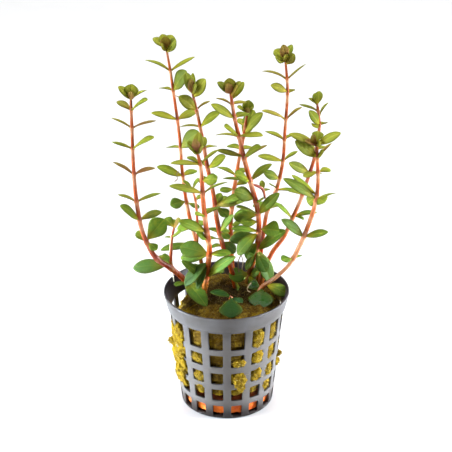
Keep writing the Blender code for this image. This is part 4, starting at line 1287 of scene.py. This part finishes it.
def make_stem(name, shoot, redness, deep, material):
    piece = Piece("stage", "rise", "knot", "tone", "amber")
    stem = shoot["stem"]
    nodes = node_heights(shoot["leaves"])
    foot, tip = stem[0][2] * MM, stem[-1][2] * MM
    heights = []
    for low, high in zip(stem, stem[1:]):
        length = (Vector(high[:3]) - Vector(low[:3])).length * MM
        steps = max(1, math.ceil(length / STEM_STEP))
        for step in range(steps):
            heights.append((low[2] + (high[2] - low[2]) * step / steps) * MM)
    heights.append(tip)
    rings = []
    for height in heights:
        centre, radius = stem_at(stem, height)
        ahead = stem_at(stem, height + 0.3 * MM)[0] - stem_at(stem, height - 0.3 * MM)[0]
        along = ahead.normalized()
        aside = along.cross(Vector((0.0, 1.0, 0.0))).normalized()
        front = along.cross(aside)
        knot = sum(math.exp(-((height - node) / NODE_REACH) ** 2) for node in nodes)
        ripple = noise.noise(centre * 260) * 0.05
        swell = radius * (1 + NODE_SWELLING * min(1.0, knot) + ripple)
        share = smooth_step(OLD_HEIGHT, YOUNG_HEIGHT, height)
        low = smooth_step(*(PALE_FOOT if deep < 0 else DARK_FOOT), height)
        stage = internode_stage(height, nodes)
        rise = (height - foot) / (tip - foot)
        swell *= LOW_STEM_FULLNESS + (HIGH_STEM_FULLNESS - LOW_STEM_FULLNESS) * share
        swell *= 1 - 0.6 * smooth_step(tip - TIP_TAPER, tip, height)
        values = {
            "stage": stage + max(0.0, -deep) * (PALEST_STAGE - stage) * low,
            "tone": redness + (1 - redness if deep > 0 else 2 * redness) * deep * low,
            "amber": smooth_step(*AMBER_FOOT, rise) * (1 - abs(deep)),
            "rise": rise, "knot": min(1.0, knot),
        }
        rings.append(piece.ring(centre, aside, front, swell, STEM_SIDES, **values))
    piece.tube(rings)
    return piece.build(name + "_stem", material, [name])


def leaf_reach(x, y, z):
    swing = math.copysign(DEPTH_SWING, y)
    return Vector((x, y, z)) * MM + Vector((0.0, swing, -swing * SIGHT_SLOPE))


def leaf_share(along, broad):
    """A leaf's outline: narrow ones straight-sided, broad ones a wedge with a round end."""
    return max(0.0, math.sin(math.pi * along ** (1.2 + 0.6 * broad))) ** (0.62 + 0.1 * broad)


def add_leaf(piece, foot, reach, width, tilt, tint):
    """One leaf as a thin closed lens that bends along its length and folds at its rib."""
    length = reach.length
    width *= SIDE_LEAF_WIDENING + (1 - SIDE_LEAF_WIDENING) * min(1.0, abs(tilt) / FULL_TILT)
    facing = Vector((0.0, -math.sin(tilt), math.cos(tilt)))
    side = reach.cross(facing).normalized()
    face = side.cross(reach).normalized()
    arch = LEAF_ARCH * random.uniform(*ARCH_SPREAD)
    twist = math.radians(random.uniform(*TWIST_SPREAD))
    fold = random.uniform(*FOLD_SPREAD)
    curl = random.uniform(*CURL_SPREAD)
    wave = random.uniform(*WAVE_SPREAD)
    phase = random.uniform(0.0, math.tau)
    tone = random.random()
    age = smooth_step(YOUNG_HEIGHT, OLD_HEIGHT, foot.z)
    gloss = smooth_step(GLOSSY_BELOW + 0.5 * MM, GLOSSY_BELOW, foot.z)
    broad = smooth_step(0.45, 0.9, width / length)
    whole = {
        "age": age, "tone": tone, "gloss": gloss, "blush": max(0.0, tint), "shaded": max(0.0, -tint),
        "slim": smooth_step(0.65, 0.45, width / length),
    }
    rings = []
    for row in range(LEAF_ROWS):
        along = 0.5 - 0.5 * math.cos(math.pi * (row / LEAF_ROWS) ** 0.9)
        centre = foot + reach * along + face * (4 * arch * length * along * (1 - along))
        lean = face * (4 * arch * length * (1 - 2 * along))
        forward = (reach + lean).normalized()
        turned = Matrix.Rotation(twist * (along - 0.3), 3, forward)
        across = turned @ forward.cross(face).normalized()
        up = across.cross(forward) * -1
        if up.dot(face) < 0:
            up = -up
        petiole = 1 - smooth_step(0.04, 0.2, along)
        spread = max(width * leaf_share(along, broad), PETIOLE_WIDTH * petiole) / 2
        thick = (LEAF_THICKNESS + (PETIOLE_THICKNESS - LEAF_THICKNESS) * petiole) / 2
        thick *= 0.35 + 0.65 * smooth_step(1.0, 0.75, along)
        ripple = wave * math.sin(9 * along + phase)
        top, bottom = [], []
        for column in LEAF_COLUMNS:
            size = abs(column)
            bend = (fold * size + curl * size * size + ripple * size * size) * spread
            lens = thick * math.sqrt(max(0.0, 1 - size ** 2.5))
            groove = 0.25 * thick * math.exp(-(column / 0.12) ** 2)
            rib = 0.5 * thick * math.exp(-(column / 0.15) ** 2) * (1 - along)
            base = centre + across * (column * spread) + up * bend
            values = {"along": along, "across": column, "offset": column * spread, **whole}
            edge = 0.5 if size == 1.0 else 0.0
            top.append(piece.point(base + up * (lens - groove), under=edge, **values))
            if size < 1.0:
                bottom.append(piece.point(base - up * (lens + rib), under=1.0, **values))
        rings.append(top + list(reversed(bottom)))
    tip = piece.point(foot + reach, along=1.0, under=0.5, **whole)
    piece.tube(rings, close_last=False)
    last = rings[-1]
    for index in range(len(last)):
        piece.face(last[index], last[(index + 1) % len(last)], tip)


def make_leaves(name, shoot, material):
    piece = Piece("along", "across", "offset", "age", "tone", "blush", "shaded", "slim", "under", "gloss")
    stem = shoot["stem"]
    rows = shoot["leaves"] + shoot.get("crown", []) + shoot.get("filling", [])
    for height, x, y, z, width, tilt, *tint in rows:
        foot, radius = stem_at(stem, height * MM)
        reach = leaf_reach(x, y, z)
        outward = Vector((reach.x, reach.y, 0.0)).normalized()
        inset = outward * radius * 0.5
        add_leaf(piece, foot + inset, reach - inset, width * MM, math.radians(tilt), sum(tint))
    return piece.build(name + "_leaves", material, [name])


def make_threads(material):
    """The thin roots and stalks, each a round tube through its points."""
    for name, (owner, radius, pale, points) in THREADS.items():
        piece = Piece("pale")
        spots = [Vector(point) * MM for point in points]
        rings = []
        for index in range((len(spots) - 1) * THREAD_STEPS + 1):
            place, step = divmod(index, THREAD_STEPS)
            low = spots[place]
            high = spots[min(place + 1, len(spots) - 1)]
            before = spots[max(place - 1, 0)]
            after = spots[min(place + 2, len(spots) - 1)]
            share = step / THREAD_STEPS
            spot = low.lerp(high, share) + (low - before + high - after) * (share * (1 - share) * 0.25)
            along = (high - low if high != low else low - before).normalized()
            aside = along.cross(Vector((0.0, 1.0, 0.2))).normalized()
            rings.append(piece.ring(spot, aside, along.cross(aside), radius * MM, THREAD_SIDES, pale=pale))
        piece.tube(rings)
        piece.build(name, material, [owner])


def make_shoots():
    leaf_look = leaf_material()
    stem_look = stem_material()
    for name, shoot in SHOOTS.items():
        make_stem(name, shoot, *STEM_REDNESS[name], stem_look)
        make_leaves(name, shoot, leaf_look)
    make_threads(thread_material())


# Studio

def make_floor():
    corners = [(x * FLOOR_REACH, y * FLOOR_REACH, 0.0) for x, y in ((-1, -1), (1, -1), (1, 1), (-1, 1))]
    mesh = bpy.data.meshes.new("studio_floor")
    mesh.from_pydata(corners, [], [(0, 1, 2, 3)])
    mesh.materials.append(floor_material())
    put_in_scene("studio_floor", mesh)


def make_air():
    """Soft light all round, weaker from the viewer's side than from behind."""
    world = bpy.data.worlds.new("studio_air")
    world.use_nodes = True
    tree = world.node_tree
    direction = tree.nodes.new("ShaderNodeSeparateXYZ")
    tree.links.new(tree.nodes.new("ShaderNodeTexCoord").outputs["Generated"], direction.inputs["Vector"])
    level = tree.nodes.new("ShaderNodeMapRange")
    level.interpolation_type = "SMOOTHSTEP"
    limits = (*AIR_TURN, FRONT_AIR, BACK_AIR)
    for socket, value in zip(("From Min", "From Max", "To Min", "To Max"), limits):
        level.inputs[socket].default_value = value
    tree.links.new(direction.outputs["Y"], level.inputs["Value"])
    tree.links.new(level.outputs["Result"], tree.nodes["Background"].inputs["Strength"])
    bpy.context.scene.world = world


def add_light(name, place, target, size, power, colour, spread):
    light = bpy.data.lights.new(name, "AREA")
    light.shape = "DISK"
    light.size = size
    light.energy = power
    light.color = colour
    light.spread = math.radians(spread)
    item = put_in_scene(name, light)
    item.location = place
    item.rotation_euler = (Vector(target) - Vector(place)).to_track_quat("-Z", "Y").to_euler()


def make_studio():
    make_floor()
    make_air()
    for name, lamp in LAMPS.items():
        add_light(name, *lamp)
    bpy.context.scene.view_settings.view_transform = "Standard"


def make_camera():
    lens = bpy.data.cameras.new("photo_camera")
    lens.lens = CAMERA_LENS
    lens.sensor_width = SENSOR_WIDTH
    lens.sensor_fit = "HORIZONTAL"
    lens.clip_start, lens.clip_end = CAMERA_CLIP
    item = put_in_scene("photo_camera", lens)
    item.matrix_world = (
        Matrix.Translation(CAMERA_PLACE) @ Matrix.Rotation(math.pi / 2 - CAMERA_PITCH, 4, "X")
        @ Matrix.Rotation(CAMERA_ROLL, 4, "Z")
    )
    bpy.context.scene.camera = item


make_camera()
make_pot(pot_material())
make_disc(clay_material())
wool_look = wool_material()
make_wool(wool_look)
make_tufts(wool_look)
make_fibres(fibre_material())
make_shoots()
make_studio()
